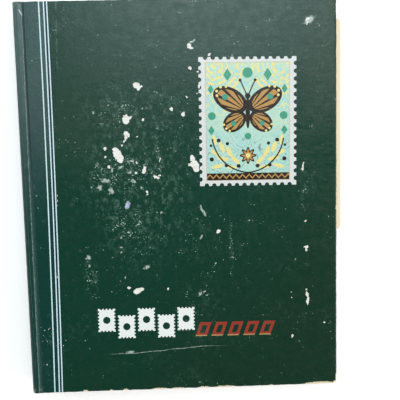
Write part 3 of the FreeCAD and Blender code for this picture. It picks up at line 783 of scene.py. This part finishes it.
def film_finish():
    """Clear gloss film, with fine lengthwise scratches in its gloss and a slight waviness."""
    recipe = Recipe("clear_film")
    recipe.finish.surface_render_method = "BLENDED"
    recipe.colour = paint(250, 253, 252)
    scratch = recipe.ease(recipe.noise(0.8, 4.0, stretch=(12.0, 1.0, 1.0)), 0.55, 0.75)
    waviness = recipe.bump(recipe.noise(14.0, 2.0), 0.3, 0.5)
    return recipe.done(Roughness=scratch * 0.3 + 0.07, Alpha=0.13, Normal=waviness)


def glassine_finish():
    """Translucent smooth paper embossed with a web of fine lines."""
    recipe = Recipe("glassine")
    recipe.finish.surface_render_method = "BLENDED"
    recipe.colour = paint(244, 242, 232)
    push = recipe.vector("MULTIPLY", recipe.noise(6.0, 2.0, colour=True), (5.0, 5.0, 0.0))
    inputs = {"Vector": recipe.vector("ADD", recipe.flat, push), "Scale": 1 / 9.0}
    web = recipe.add("ShaderNodeTexVoronoi", "Distance", inputs, feature="DISTANCE_TO_EDGE",
                     voronoi_dimensions="2D")
    line = recipe.ease(web, 0.02, 0.07, 1.0, 0.0)
    return recipe.done(Roughness=line * 0.25 + 0.32, Alpha=0.26, Normal=recipe.bump(line, 0.12, 1.0))


def twisted_finish(name, base, shade, pitch):
    """Twisted fibre: slanting strands, a sine of X + Y, with darker seams between them."""
    recipe = Recipe(name)
    strand = recipe.math("SINE", (recipe.y + recipe.x) * (2 * math.pi / pitch))
    hair = recipe.noise(0.25, 3.0, stretch=(1.0, 3.0, 1.0))
    recipe.colour = shade
    recipe.lay(recipe.ease(hair * 1.6 + strand, -0.4, 1.6), base)
    return recipe.done(Roughness=0.85, Normal=recipe.bump(hair, 0.05, 0.6))


def ripple(x, y, size, seed):
    """Smooth unevenness between about -1 and 1: a quarter of the sum of seven sine waves.

    The waves run in random directions, and their lengths are about the given size in mm.
    """
    draw = np.random.default_rng(seed)
    turns = draw.uniform(0, 2 * np.pi, 7)
    starts = draw.uniform(0, 2 * np.pi, 7)
    lengths = size * draw.uniform(0.6, 1.7, 7)
    total = 0.0
    for turn, start, length in zip(turns, starts, lengths):
        total = total + np.sin(2 * np.pi * (x * np.cos(turn) + y * np.sin(turn)) / length + start)
    return total / 4.0


def ripples(x, y, waves, seed):
    """Several ripples added up; each of the waves is a height and a wavelength, and takes the next seed."""
    return sum(height * ripple(x, y, size, seed + step) for step, (height, size) in enumerate(waves))


def full_turn(steps):
    """Angles of the corners of a regular outline."""
    return np.linspace(0, 2 * np.pi, steps + 1)[:-1]


def unit_ring(steps):
    """Points of a circle of radius 1, in X and Z."""
    turn = full_turn(steps)
    return np.stack([np.cos(turn), np.sin(turn)], -1)


def grid_faces(rows, columns, closed=False):
    """Quads between neighbouring rows of a grid of points, joined round where the rows are closed."""
    across = np.arange(columns if closed else columns - 1)
    down = np.arange(rows - 1)[:, None]
    here = down * columns + across
    beside = down * columns + (across + 1) % columns
    return np.stack([here, beside, beside + columns, here + columns], axis=-1).reshape(-1, 4)


def enclosed(points, faces):
    """Signed volume inside closed faces, positive where they point outwards."""
    total = 0.0
    for face in (faces[:, [0, 1, 2]], faces[:, [0, 2, 3]]):
        a, b, c = points[face[:, 0]], points[face[:, 1]], points[face[:, 2]]
        total += np.einsum("ij,ij->i", a, np.cross(b, c)).sum()
    return total / 6


def add_piece(name, points, faces, finish, body=None, replaced=()):
    """Makes an object from points in mm, with its place in its mesh, and ties it to the frame."""
    mesh = bpy.data.meshes.new(name)
    mesh.from_pydata((points * MM).tolist(), [], [list(face) for face in faces])
    mesh.polygons.foreach_set("use_smooth", np.ones(len(mesh.polygons), bool))
    mesh.update()
    mesh.materials.append(finish)
    piece = bpy.data.objects.new(name, mesh)
    bpy.context.scene.collection.objects.link(piece)
    if body is not None:
        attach(piece, body)
    if replaced:
        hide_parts(*replaced)
    return piece


def swept(profile, stations):
    """Carries closed outlines along Y: profile is stations x points x 2 in X and Z, with flat ends."""
    rows, columns = profile.shape[:2]
    points = np.empty((rows, columns, 3))
    points[..., 0] = profile[..., 0]
    points[..., 1] = stations[:, None]
    points[..., 2] = profile[..., 1]
    points = points.reshape(-1, 3)
    faces = grid_faces(rows, columns, closed=True)
    ends = [list(range(columns))[::-1], list(range((rows - 1) * columns, rows * columns))]
    if enclosed(points - points.mean(0), faces) < 0:
        faces = faces[:, ::-1]
        ends = [end[::-1] for end in ends]
    return points, faces.tolist() + ends


def dress(finish, *nodes):
    """Gives CAD nodes a finish in place of the one they were packed with."""
    for node in nodes:
        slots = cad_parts[node].data.materials
        slots.clear()
        slots.append(finish)


def edge_profile(sizes, depth):
    """Rings of a wrap past its straight edges: reach outwards, depth and shrinkage under the board.

    The rings run outwards to the edge, over a quarter round, down the side, round another quarter and
    inwards under the board, where the straight edges draw in by the turn-in.
    """
    rounding, corner = sizes.edge_rounding, sizes.corner_rounding
    quarter = np.radians([18.0, 36.0, 54.0, 72.0, 90.0])
    flat = corner - rounding
    under = [*TURN_IN_ROWS, sizes.turn_in]
    reach = [0.0, 0.45 * flat, flat] + list(flat + rounding * np.sin(quarter)) + [corner, corner]
    reach += list(flat + rounding * np.cos(quarter)) + [flat] * len(under)
    down = [0.0, 0.0, 0.0] + list(rounding * (1 - np.cos(quarter))) + [depth / 2, depth - rounding]
    down += list(depth - rounding + rounding * np.sin(quarter)) + [depth] * len(under)
    shrink = [0.0] * (len(reach) - len(under)) + under
    return np.array(reach), np.array(down), np.array(shrink)


def cover_shell(sizes, outer_z, inward, spine_x, fore_x, half_height, depth, seed):
    """Wrap over one board as a sheet on a grid of two parameters, in mm.

    Across the middle the parameters s and t are X and Y. Past the straight edges each further row is a
    ring of the edge's profile, with ks and kt for its number. At a corner the two ring numbers give the
    direction, from square to circle. The edge is worn by ripples, the face is slightly wavy, and it dips
    to the lip beside the spine.
    """
    reach, down, shrink = edge_profile(sizes, depth)
    corner = sizes.corner_rounding
    rings = len(reach) - 1
    straight_x = fore_x - corner
    straight_y = half_height - corner
    across = np.linspace(spine_x, straight_x, COVER_GRID[0])
    across = np.insert(across, 1, spine_x + np.array([0.5, 1.0]))
    along = np.linspace(-straight_y, straight_y, COVER_GRID[1])
    ring = np.arange(1, rings + 1)
    s = np.concatenate([across, np.full(rings, straight_x)])
    ks = np.concatenate([np.zeros(len(across)), ring])
    t = np.concatenate([np.full(rings, -straight_y), along, np.full(rings, straight_y)])
    kt = np.concatenate([ring[::-1], np.zeros(len(along)), ring])
    sign = np.concatenate([-np.ones(rings), np.zeros(len(along)), np.ones(rings)])
    s, t = np.meshgrid(s, t, indexing="ij")
    ks, kt = np.meshgrid(ks, kt, indexing="ij")
    high, low = np.maximum(ks, kt), np.minimum(ks, kt)
    k = high.astype(int)
    angle = np.pi / 4 * np.divide(low, high, out=np.zeros_like(high), where=high > 0)
    angle = np.where(kt > ks, np.pi / 2 - angle, angle)
    base_x = spine_x + (s - spine_x) * (1 - shrink[k] / (straight_x - spine_x))
    base_y = t * (1 - shrink[k] / straight_y)
    edge = np.clip((reach[k] - 0.5 * corner) / (0.5 * corner), 0, 1) * (shrink[k] == 0)
    out = reach[k] + edge * np.minimum(ripples(base_x, base_y, EDGE_WEAR, seed), 0.12)
    x = base_x + out * np.cos(angle) * (high > 0)
    y = base_y + out * np.sin(angle) * sign
    level = ripples(base_x, base_y, ((sizes.unevenness, FACE_WAVE), FACE_GRAIN), seed + 2)
    lip = sizes.board_lip * np.clip(1 - (base_x - spine_x) / LIP_WIDTH, 0, 1) ** 2
    z = outer_z + inward * (down[k] + (lip - level) * (down[k] < sizes.edge_rounding))
    return np.stack([x, y, z], axis=-1).reshape(-1, 3), grid_faces(*s.shape)


def add_cover(sizes, side, outer_z, inward, finish, name, seed):
    """One cover's wrap, given its thickness inwards by a modifier."""
    low, high = node_box(f"{side}_cover_wrap")
    depth = high[2] - low[2]
    points, faces = cover_shell(sizes, outer_z, inward, low[0], high[0], high[1], depth, seed)
    # the outermost face has to point outwards
    a, b, c = points[faces[np.argmin(inward * points[faces][:, :, 2].mean(1))]][:3]
    if np.cross(b - a, c - b)[2] * inward > 0:
        faces = faces[:, ::-1]
    piece = add_piece(name, points, faces, finish, f"{side}_cover", [f"{side}_cover_wrap"])
    shell = piece.modifiers.new("wrap_thickness", "SOLIDIFY")
    shell.thickness = WRAP_THICKNESS * MM
    shell.offset = -1.0
    return piece


def groove_strip(sizes, outer_z, inward, near_x, far_x, half_height, seed):
    """Closed outline of the joint, carried along Y: a groove that is steep beside the board.

    Across the strip, with t from 0 at the spine to 1 at the board, the top dips by the groove's depth
    times sin(pi t^4)^1.5 plus a slow fall of JOINT_FALL, and ends at the board's lip; the underside lies
    JOINT_THICKNESS further in. The groove is pressed in fully near the head and only 0.3 as deep below
    the middle. The crinkles only press inwards.
    """
    t = np.linspace(0, 1, JOINT_GRID[0]) ** 0.7
    x = near_x + (far_x - near_x) * t
    stations = np.linspace(-half_height, half_height, JOINT_GRID[1])
    grid_x, grid_y = np.meshgrid(x, stations)
    rise = np.clip((grid_y + 30) / 130, 0, 1)
    pressed = 0.3 + 0.7 * rise ** 2 * (3 - 2 * rise)
    dip = pressed * sizes.groove_depth * np.sin(np.pi * t ** 4) ** 1.5
    dip += JOINT_FALL * np.sin(np.pi * t) ** 2 + sizes.board_lip * t ** 8
    crinkle = 0.06 + 0.16 * np.clip((grid_y - 60) / 70, 0, 1)
    waves = crinkle * ripples(grid_x, grid_y, JOINT_CRINKLES, seed) * np.sin(np.pi * t)
    top = dip + np.clip(waves, 0.0, 0.3)
    outline_x = np.concatenate([grid_x, grid_x[:, ::-1]], axis=1)
    outline_z = outer_z + inward * np.concatenate([top, dip[:, ::-1] + JOINT_THICKNESS], axis=1)
    return swept(np.stack([outline_x, outline_z], axis=-1), stations)


def spine_outline(low, high, shoulder):
    """Outer line of the spine's wrap in X and Z, from the front joint round to the back one, and the inner.

    The outer line has a quarter round at each shoulder and a flat back. The inner line is
    TONGUE_THICKNESS inside it at the tongues that reach the joints, and flat past the spine board.
    """
    back_x, rear_z, front_z = low[0], low[2], high[2]
    quarter = np.linspace(0, np.pi / 2, 11)
    arc_x = back_x + shoulder - shoulder * np.sin(quarter)
    upper = np.stack([arc_x, front_z - shoulder + shoulder * np.cos(quarter)], -1)
    flat_z = np.linspace(front_z - shoulder, rear_z + shoulder, 23)[1:-1]
    face = np.stack([np.full(len(flat_z), back_x), flat_z], -1)
    lower = np.stack([upper[::-1, 0], rear_z + front_z - upper[::-1, 1]], -1)
    joint_x = back_x + shoulder
    inside_x = back_x + SPINE_DEPTH
    dip = math.sqrt((shoulder - TONGUE_THICKNESS) ** 2 - (shoulder - SPINE_DEPTH) ** 2)
    inner = [(joint_x, rear_z + TONGUE_THICKNESS), (inside_x, rear_z + shoulder - dip),
             (inside_x, front_z - shoulder + dip), (joint_x, front_z - TONGUE_THICKNESS)]
    return np.concatenate([upper, face, lower]), np.array(inner)


def spine_bar(low, high, seed):
    """Spine wrap as a closed outline carried along Y.

    The outer line is pushed along its normals by ripples that grow towards head and tail, and is rounded
    off at both ends; the push fades out at the tongues.
    """
    shoulder = high[0] - low[0]
    half = high[1]
    outer, inner = spine_outline(low, high, shoulder)
    near_end = np.array([0.0, 0.15, 0.5])
    middle = np.linspace(1.5 - half, half - 1.5, SPINE_ROWS)
    stations = np.concatenate([near_end - half, middle, half - near_end[::-1]])
    # the outside is on the right of the outer line's course
    normal = np.gradient(outer, axis=0)
    normal = np.stack([normal[:, 1], -normal[:, 0]], -1)
    normal /= np.linalg.norm(normal, axis=1, keepdims=True)
    path = np.concatenate([[0], np.cumsum(np.linalg.norm(np.diff(outer, axis=0), axis=1))])
    grid_s, grid_y = np.meshgrid(path, stations)
    fade = np.sin(np.pi * np.clip(path / path[-1], 0, 1)) ** 0.3
    tight = np.clip((np.abs(grid_y) - 95) / 35, 0, 1)
    waves = ripples(grid_s, grid_y, ((0.04 + 0.10 * tight, 8.0), (0.015 + 0.05 * tight, 2.6)), seed)
    rounding = SPINE_END_ROUNDING * np.clip(1 - (half - np.abs(stations)) / near_end[-1], 0, 1) ** 2
    push = (np.clip(waves, -0.2, 0.2) - rounding[:, None]) * fade
    profile = np.repeat(np.concatenate([outer, inner])[None], len(stations), axis=0)
    profile[:, :len(outer)] += push[..., None] * normal
    return swept(profile, stations)


def linen_outline(sizes, leaf, fold):
    """The strip's outline in X and Z: one ply from the fold, opening to grip both faces of the card."""
    ply = sizes.linen_thickness / 2
    card_low, card_high = node_box(f"leaf_{leaf}_card")
    strip_low, strip_high = node_box(f"leaf_{leaf}_hinge")
    level = (card_low[2] + card_high[2]) / 2
    half_card = (card_high[2] - card_low[2]) / 2
    card_x, grip_x = card_low[0], strip_high[0]
    knee_x = card_x - KNEE_LENGTH
    slope = math.atan2(level - fold[1], knee_x - fold[0])
    start = (strip_low[0] + ply * abs(math.sin(slope)) - fold[0]) / math.cos(slope)
    end = fold + start * np.array([math.cos(slope), math.sin(slope)])
    normal = np.array([-math.sin(slope), math.cos(slope)])
    sides = []
    for side in (1, -1):
        near = end + side * ply * normal
        knee = np.array([knee_x, level + side * ply])
        run = near + (knee - near) * np.linspace(0, 1, 6)[:, None]
        face = level + side * half_card
        skin = face + side * sizes.linen_thickness
        bevel_x, bevel_z = grip_x - GRIP_BEVEL[0], skin - side * GRIP_BEVEL[1]
        rest = [(card_x - GRIP_START, level + side * ply), (card_x, skin), (card_x + 3, skin),
                (bevel_x, skin), (grip_x, bevel_z), (grip_x, face), (card_x, face)]
        sides.append(np.concatenate([run, np.array(rest)]))
    return np.concatenate([sides[0], sides[1][::-1]])


class ALBUM_OT_front_cover(bpy.types.Operator):
    """Makes the printed wrap of the front cover"""

    bl_idname = "album.front_cover"
    bl_label = "Front cover"

    def execute(self, context):
        colours = context.scene.album_colours
        top = node_box("front_cover_wrap")[1][2]
        field = front_finish(colours, top, "field_laminate", WHOLE_FIELD)
        piece = add_cover(sizes_in_mm(context), "front", top, -1, field, "front_wrap", 11)
        mesh = piece.data
        middles = np.empty(3 * len(mesh.polygons), np.float32)
        mesh.polygons.foreach_get("center", middles)
        x, y = (middles.reshape(-1, 3) / MM)[:, :2].T
        index = np.zeros(len(x), np.int32)
        prints = (("hinge_laminate", HINGE_ZONE, print_stripes), ("stamp_laminate", STAMP_ZONE, print_stamp),
                  ("ornament_laminate", ORNAMENT_ZONE, print_ornaments))
        for number, (name, zone, add_print) in enumerate(prints, start=1):
            mesh.materials.append(front_finish(colours, top, name, zone, add_print))
            index[(x > zone[0]) & (x < zone[1]) & (y > zone[2]) & (y < zone[3])] = number
        mesh.polygons.foreach_set("material_index", index)
        return {"FINISHED"}


class ALBUM_OT_back_cover(bpy.types.Operator):
    """Makes the plain wrap of the back cover"""

    bl_idname = "album.back_cover"
    bl_label = "Back cover"

    def execute(self, context):
        finish = back_finish(context.scene.album_colours)
        add_cover(sizes_in_mm(context), "back", 0.0, 1, finish, "back_wrap", 29)
        return {"FINISHED"}


class ALBUM_OT_joints(bpy.types.Operator):
    """Makes the two joints between the spine and the covers"""

    bl_idname = "album.joints"
    bl_label = "Joints"

    def execute(self, context):
        sizes = sizes_in_mm(context)
        finish = fold_finish(context.scene.album_colours, "joint_laminate")
        for side, inward, seed in (("front", -1, 41), ("back", 1, 57)):
            low, high = node_box(f"{side}_joint")
            outer = high[2] if inward < 0 else low[2]
            points, faces = groove_strip(sizes, outer, inward, low[0], high[0], high[1], seed)
            piece = add_piece(f"{side}_groove", points, faces, finish, None, [f"{side}_joint"])
            if side == "front":
                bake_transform(piece)
            else:
                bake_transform(piece)
        return {"FINISHED"}


class ALBUM_OT_spine(bpy.types.Operator):
    """Makes the wrap of the spine and finishes the lining inside it"""

    bl_idname = "album.spine"
    bl_label = "Spine"

    def execute(self, context):
        finish = fold_finish(context.scene.album_colours, "spine_laminate")
        points, faces = spine_bar(*node_box("spine_wrap"), 71)
        add_piece("spine_cover", points, faces, finish, "spine", ["spine_wrap"])
        dress(paper_finish("kraft_lining", paint(172, 146, 108), paint(140, 114, 80)), "spine_lining")
        return {"FINISHED"}


class ALBUM_OT_boards(bpy.types.Operator):
    """Finishes the boards, the pasted endpapers and the flyleaves"""

    bl_idname = "album.boards"
    bl_label = "Boards and endpapers"

    def execute(self, context):
        colours = context.scene.album_colours
        board = paper_finish("cover_board", colours.board, paint(186, 170, 140))
        dress(board, "front_board", "back_board", "spine_board")
        endpaper = paper_finish("endpaper", colours.endpaper, paint(216, 203, 176), 0.5)
        dress(endpaper, "front_pastedown", "back_pastedown", "front_flyleaf", "back_flyleaf")
        return {"FINISHED"}


class ALBUM_OT_leaves(bpy.types.Operator):
    """Finishes the stock leaves, their film pockets and the glassine between them"""

    bl_idname = "album.leaves"
    bl_label = "Leaves"

    def execute(self, context):
        ivory = context.scene.album_colours.stock_card
        card = paper_finish("stock_card", ivory, paint(220, 208, 178), 0.25)
        film = film_finish()
        for leaf in LEAF_NUMBERS:
            dress(card, f"leaf_{leaf}_card")
            dress(film, f"leaf_{leaf}_front_strips", f"leaf_{leaf}_back_strips")
        dress(film, "loose_card_strips")
        dress(glassine_finish(), *[f"interleaf_{sheet}" for sheet in GLASSINE_NUMBERS])
        return {"FINISHED"}


class ALBUM_OT_linen(bpy.types.Operator):
    """Makes the woven hinge strip of every leaf"""

    bl_idname = "album.linen"
    bl_label = "Linen hinges"

    def execute(self, context):
        sizes = sizes_in_mm(context)
        finish = linen_finish(context.scene.album_colours)
        low, high = node_box("binding_cord")
        stations = np.linspace(low[1], high[1], LINEN_ROWS)
        for leaf in LEAF_NUMBERS:
            outline = linen_outline(sizes, leaf, fold_line())
            points, faces = swept(np.repeat(outline[None], len(stations), axis=0), stations)
            add_piece(f"linen_{leaf}", points, faces, finish, f"leaf_{leaf}", [f"leaf_{leaf}_hinge"])
        return {"FINISHED"}


class ALBUM_OT_binding(bpy.types.Operator):
    """Makes the twisted cord, its stitches and the bands at head and tail"""

    bl_idname = "album.binding"
    bl_label = "Binding"

    def execute(self, context):
        self.add_cord(sizes_in_mm(context).cord_twist)
        self.add_stitches()
        self.add_bands()
        return {"FINISHED"}

    def add_cord(self, twist):
        """A bar along Y with three strands: its radius swells with the cosine of a slanting angle."""
        low, high = node_box("binding_cord")
        radius = (high[0] - low[0]) / 2
        steps, rows = CORD_GRID
        stations = np.linspace(low[1], high[1], rows)
        lay = full_turn(steps) - 2 * np.pi * stations[:, None] / twist
        reach = radius * (0.84 + 0.16 * np.abs(np.cos(1.5 * lay)))
        points, faces = swept(fold_line() + reach[..., None] * unit_ring(steps), stations)
        finish = twisted_finish("cotton_cord", paint(226, 219, 200), paint(170, 158, 130), 1.4)
        add_piece("twisted_cord", points, faces, finish, "block", ["binding_cord"])

    def add_stitches(self):
        """Each stitch is a closed ring round the cord with a two-ply thread for its section."""
        low, high = node_box("sewing_thread")
        middle = (high[0] - low[0]) / 2 - THREAD_RADIUS
        length = node_box("binding_cord")[1][1] * 2
        corners, steps = STITCH_GRID
        around, section = np.meshgrid(full_turn(steps), full_turn(corners), indexing="ij")
        ply = THREAD_RADIUS * (0.86 + 0.14 * np.abs(np.cos(section - 6 * around)))
        distance = middle + ply * np.cos(section)
        fold = fold_line()
        x = fold[0] + distance * np.cos(around)
        z = fold[1] + distance * np.sin(around)
        ring = np.stack([x, ply * np.sin(section), z], -1).reshape(-1, 3)
        closed = grid_faces(steps + 1, corners, closed=True) % len(ring)
        if enclosed(ring - ring.mean(0), closed) < 0:
            closed = closed[:, ::-1]
        number = np.arange(STITCHES)
        along = length * ((number + 0.5) / STITCHES - 0.5)
        points = ring + along[:, None, None] * np.array([0.0, 1.0, 0.0])
        faces = closed + len(ring) * number[:, None, None]
        finish = twisted_finish("waxed_thread", paint(240, 235, 222), paint(205, 196, 176), 0.5)
        add_piece("stitches", points.reshape(-1, 3), faces.reshape(-1, 4).tolist(), finish, "block",
                  ["sewing_thread"])

    def add_bands(self):
        """Each band is a bead wound with thread: a rounded bar whose radius ripples along Y."""
        finish = twisted_finish("woven_band", paint(214, 196, 150), paint(48, 92, 74), 1.1)
        steps, rows = BAND_GRID
        for node in ("head_band", "tail_band"):
            low, high = node_box(node)
            radius = (high[0] - low[0]) / 2
            share = np.sin(np.linspace(-1, 1, rows) * np.pi / 2)
            stations = (low[1] + high[1]) / 2 + share * (high[1] - low[1]) / 2
            bead = np.clip(1 - np.abs(share) ** 5, 0.02, 1) ** 0.5
            winding = 1 - 0.05 * np.abs(np.sin(2 * np.pi * stations / BAND_WINDING))
            reach = radius * bead * winding
            points, faces = swept(fold_line() + reach[:, None, None] * unit_ring(steps), stations)
            add_piece(f"{node}_wound", points, faces, finish, "block", [node])


class ALBUM_OT_loose_card(bpy.types.Operator):
    """Finishes the card that is kept loose in the album, toned where it sticks out"""

    bl_idname = "album.loose_card"
    bl_label = "Loose card"

    def execute(self, context):
        cream = context.scene.album_colours.loose_card
        edge = node_box("loose_card")[1][0]
        tone = (edge - 3.4, edge - 2.6, paint(255, 238, 210))
        dress(paper_finish("cream_card", cream, paint(252, 243, 220), 0.2, tone), "loose_card")
        return {"FINISHED"}


class ALBUM_OT_stage(bpy.types.Operator):
    """Makes the pale floor, the soft lights and the camera"""

    bl_idname = "album.stage"
    bl_label = "Stage"

    def execute(self, context):
        scene = context.scene
        self.add_floor()
        self.add_world(scene)
        self.add_lamp(scene, "head_light", (0.05, 0.5, 0.95), 0.62, 4.1, (0.87, 1.0, 1.05))
        self.add_lamp(scene, "left_light", (-0.9, 0.45, 0.75), 0.6, 2.2, (0.85, 1.0, 1.0))
        self.add_lamp(scene, "right_light", (0.95, -0.25, 0.7), 0.6, 5.0, (1.0, 0.95, 0.88))
        self.add_camera(scene)
        scene.view_settings.view_transform = "Standard"
        return {"FINISHED"}

    def add_floor(self):
        """A square; the camera sees a lift that grows to plain white where the light falls off."""
        recipe = Recipe("pale_floor")
        recipe.colour = (0.86, 0.86, 0.86, 1.0)
        away = recipe.vector("LENGTH", recipe.place)
        lift = recipe.ease(away, 300.0, 1200.0, 0.35, 1.0, "LINEAR")
        lift = recipe.add("ShaderNodeLightPath", "Is Camera Ray") * lift
        finish = recipe.done(Roughness=0.9, Emission_Color=(1.0, 1.0, 1.0, 1.0), Emission_Strength=lift)
        side = np.array([-FLOOR_HALF, FLOOR_HALF])
        x, y = np.meshgrid(side, side)
        points = np.stack([x.ravel(), y.ravel(), np.full(4, FLOOR_LEVEL)], -1)
        floor = add_piece("floor", points, [(0, 1, 3, 2)], finish)

    def add_world(self, scene):
        """Even light on dull surfaces; the eye and mirrors see a white backdrop and a dark ceiling."""
        world = bpy.data.worlds.new("studio")
        scene.world = world
        world.use_nodes = True
        nodes = Nodes(world.node_tree)
        kinds = ("Is Camera Ray", "Is Glossy Ray", "Is Transmission Ray")
        seen = nodes.most(*[nodes.add("ShaderNodeLightPath", kind) for kind in kinds])
        direction = nodes.add("ShaderNodeTexCoord", "Generated")
        height = nodes.vector("DOT_PRODUCT", direction, (0.0, 0.0, 1.0))
        backdrop = nodes.ease(height, 0.1, 0.55, 1.0, 0.02)
        sockets = nodes.tree.nodes["Background"].inputs
        sockets["Color"].default_value = (1.0, 1.0, 1.0, 1.0)
        nodes.feed(sockets["Strength"], nodes.add("ShaderNodeMix", 0, {0: seen, 2: 0.5, 3: backdrop}))

    def add_lamp(self, scene, name, place, size, power, tint):
        """A square lamp that looks at the origin."""
        lamp = bpy.data.lights.new(name, "AREA")
        lamp.size = size
        lamp.energy = power
        lamp.color = tint
        holder = bpy.data.objects.new(name, lamp)
        holder.location = place
        toward = -np.array(place)
        pitch = math.acos(-toward[2] / np.linalg.norm(toward))
        heading = math.atan2(toward[1], toward[0]) - math.pi / 2
        holder.rotation_euler = (pitch, 0.0, heading)
        scene.collection.objects.link(holder)

    def add_camera(self, scene):
        """The photograph's view: almost straight down, from 0.43 m."""
        lens = bpy.data.cameras.new("photo_camera")
        lens.sensor_width = 36.0
        lens.lens = 54.0
        camera = bpy.data.objects.new("photo_camera", lens)
        camera.location = (0.00364, 0.04158, 0.42635)
        camera.rotation_euler = tuple(math.radians(turn) for turn in (-5.9, -1.507, -1.371))
        scene.collection.objects.link(camera)
        scene.camera = camera


OPERATORS = (
    ALBUM_OT_front_cover, ALBUM_OT_back_cover, ALBUM_OT_joints, ALBUM_OT_spine, ALBUM_OT_boards,
    ALBUM_OT_leaves, ALBUM_OT_linen, ALBUM_OT_binding, ALBUM_OT_loose_card, ALBUM_OT_stage,
)


class ALBUM_PT_tools(bpy.types.Panel):
    """Sidebar panel that lists the album's operators, sizes and colours"""

    bl_idname = "ALBUM_PT_tools"
    bl_label = "Stamp Album"
    bl_space_type = "VIEW_3D"
    bl_region_type = "UI"
    bl_category = "Album"

    def draw(self, context):
        scene = context.scene
        for operator in OPERATORS:
            self.layout.operator(operator.bl_idname)
        for settings, group in ((scene.album_sizes, AlbumSizes), (scene.album_colours, AlbumColours)):
            for name in group.__annotations__:
                self.layout.prop(settings, name)


CLASSES = (AlbumSizes, AlbumColours) + OPERATORS + (ALBUM_PT_tools,)


def register():
    for item in CLASSES:
        bpy.utils.register_class(item)
    bpy.types.Scene.album_sizes = bpy.props.PointerProperty(type=AlbumSizes)
    bpy.types.Scene.album_colours = bpy.props.PointerProperty(type=AlbumColours)


def unregister():
    del bpy.types.Scene.album_colours
    del bpy.types.Scene.album_sizes
    for item in reversed(CLASSES):
        bpy.utils.unregister_class(item)


def main():
    register()
    bpy.ops.album.front_cover()
    bpy.ops.album.back_cover()
    bpy.ops.album.joints()
    bpy.ops.album.spine()
    bpy.ops.album.boards()
    bpy.ops.album.leaves()
    bpy.ops.album.linen()
    bpy.ops.album.binding()
    bpy.ops.album.loose_card()
    bpy.ops.album.stage()


if __name__ == "__main__":
    main()
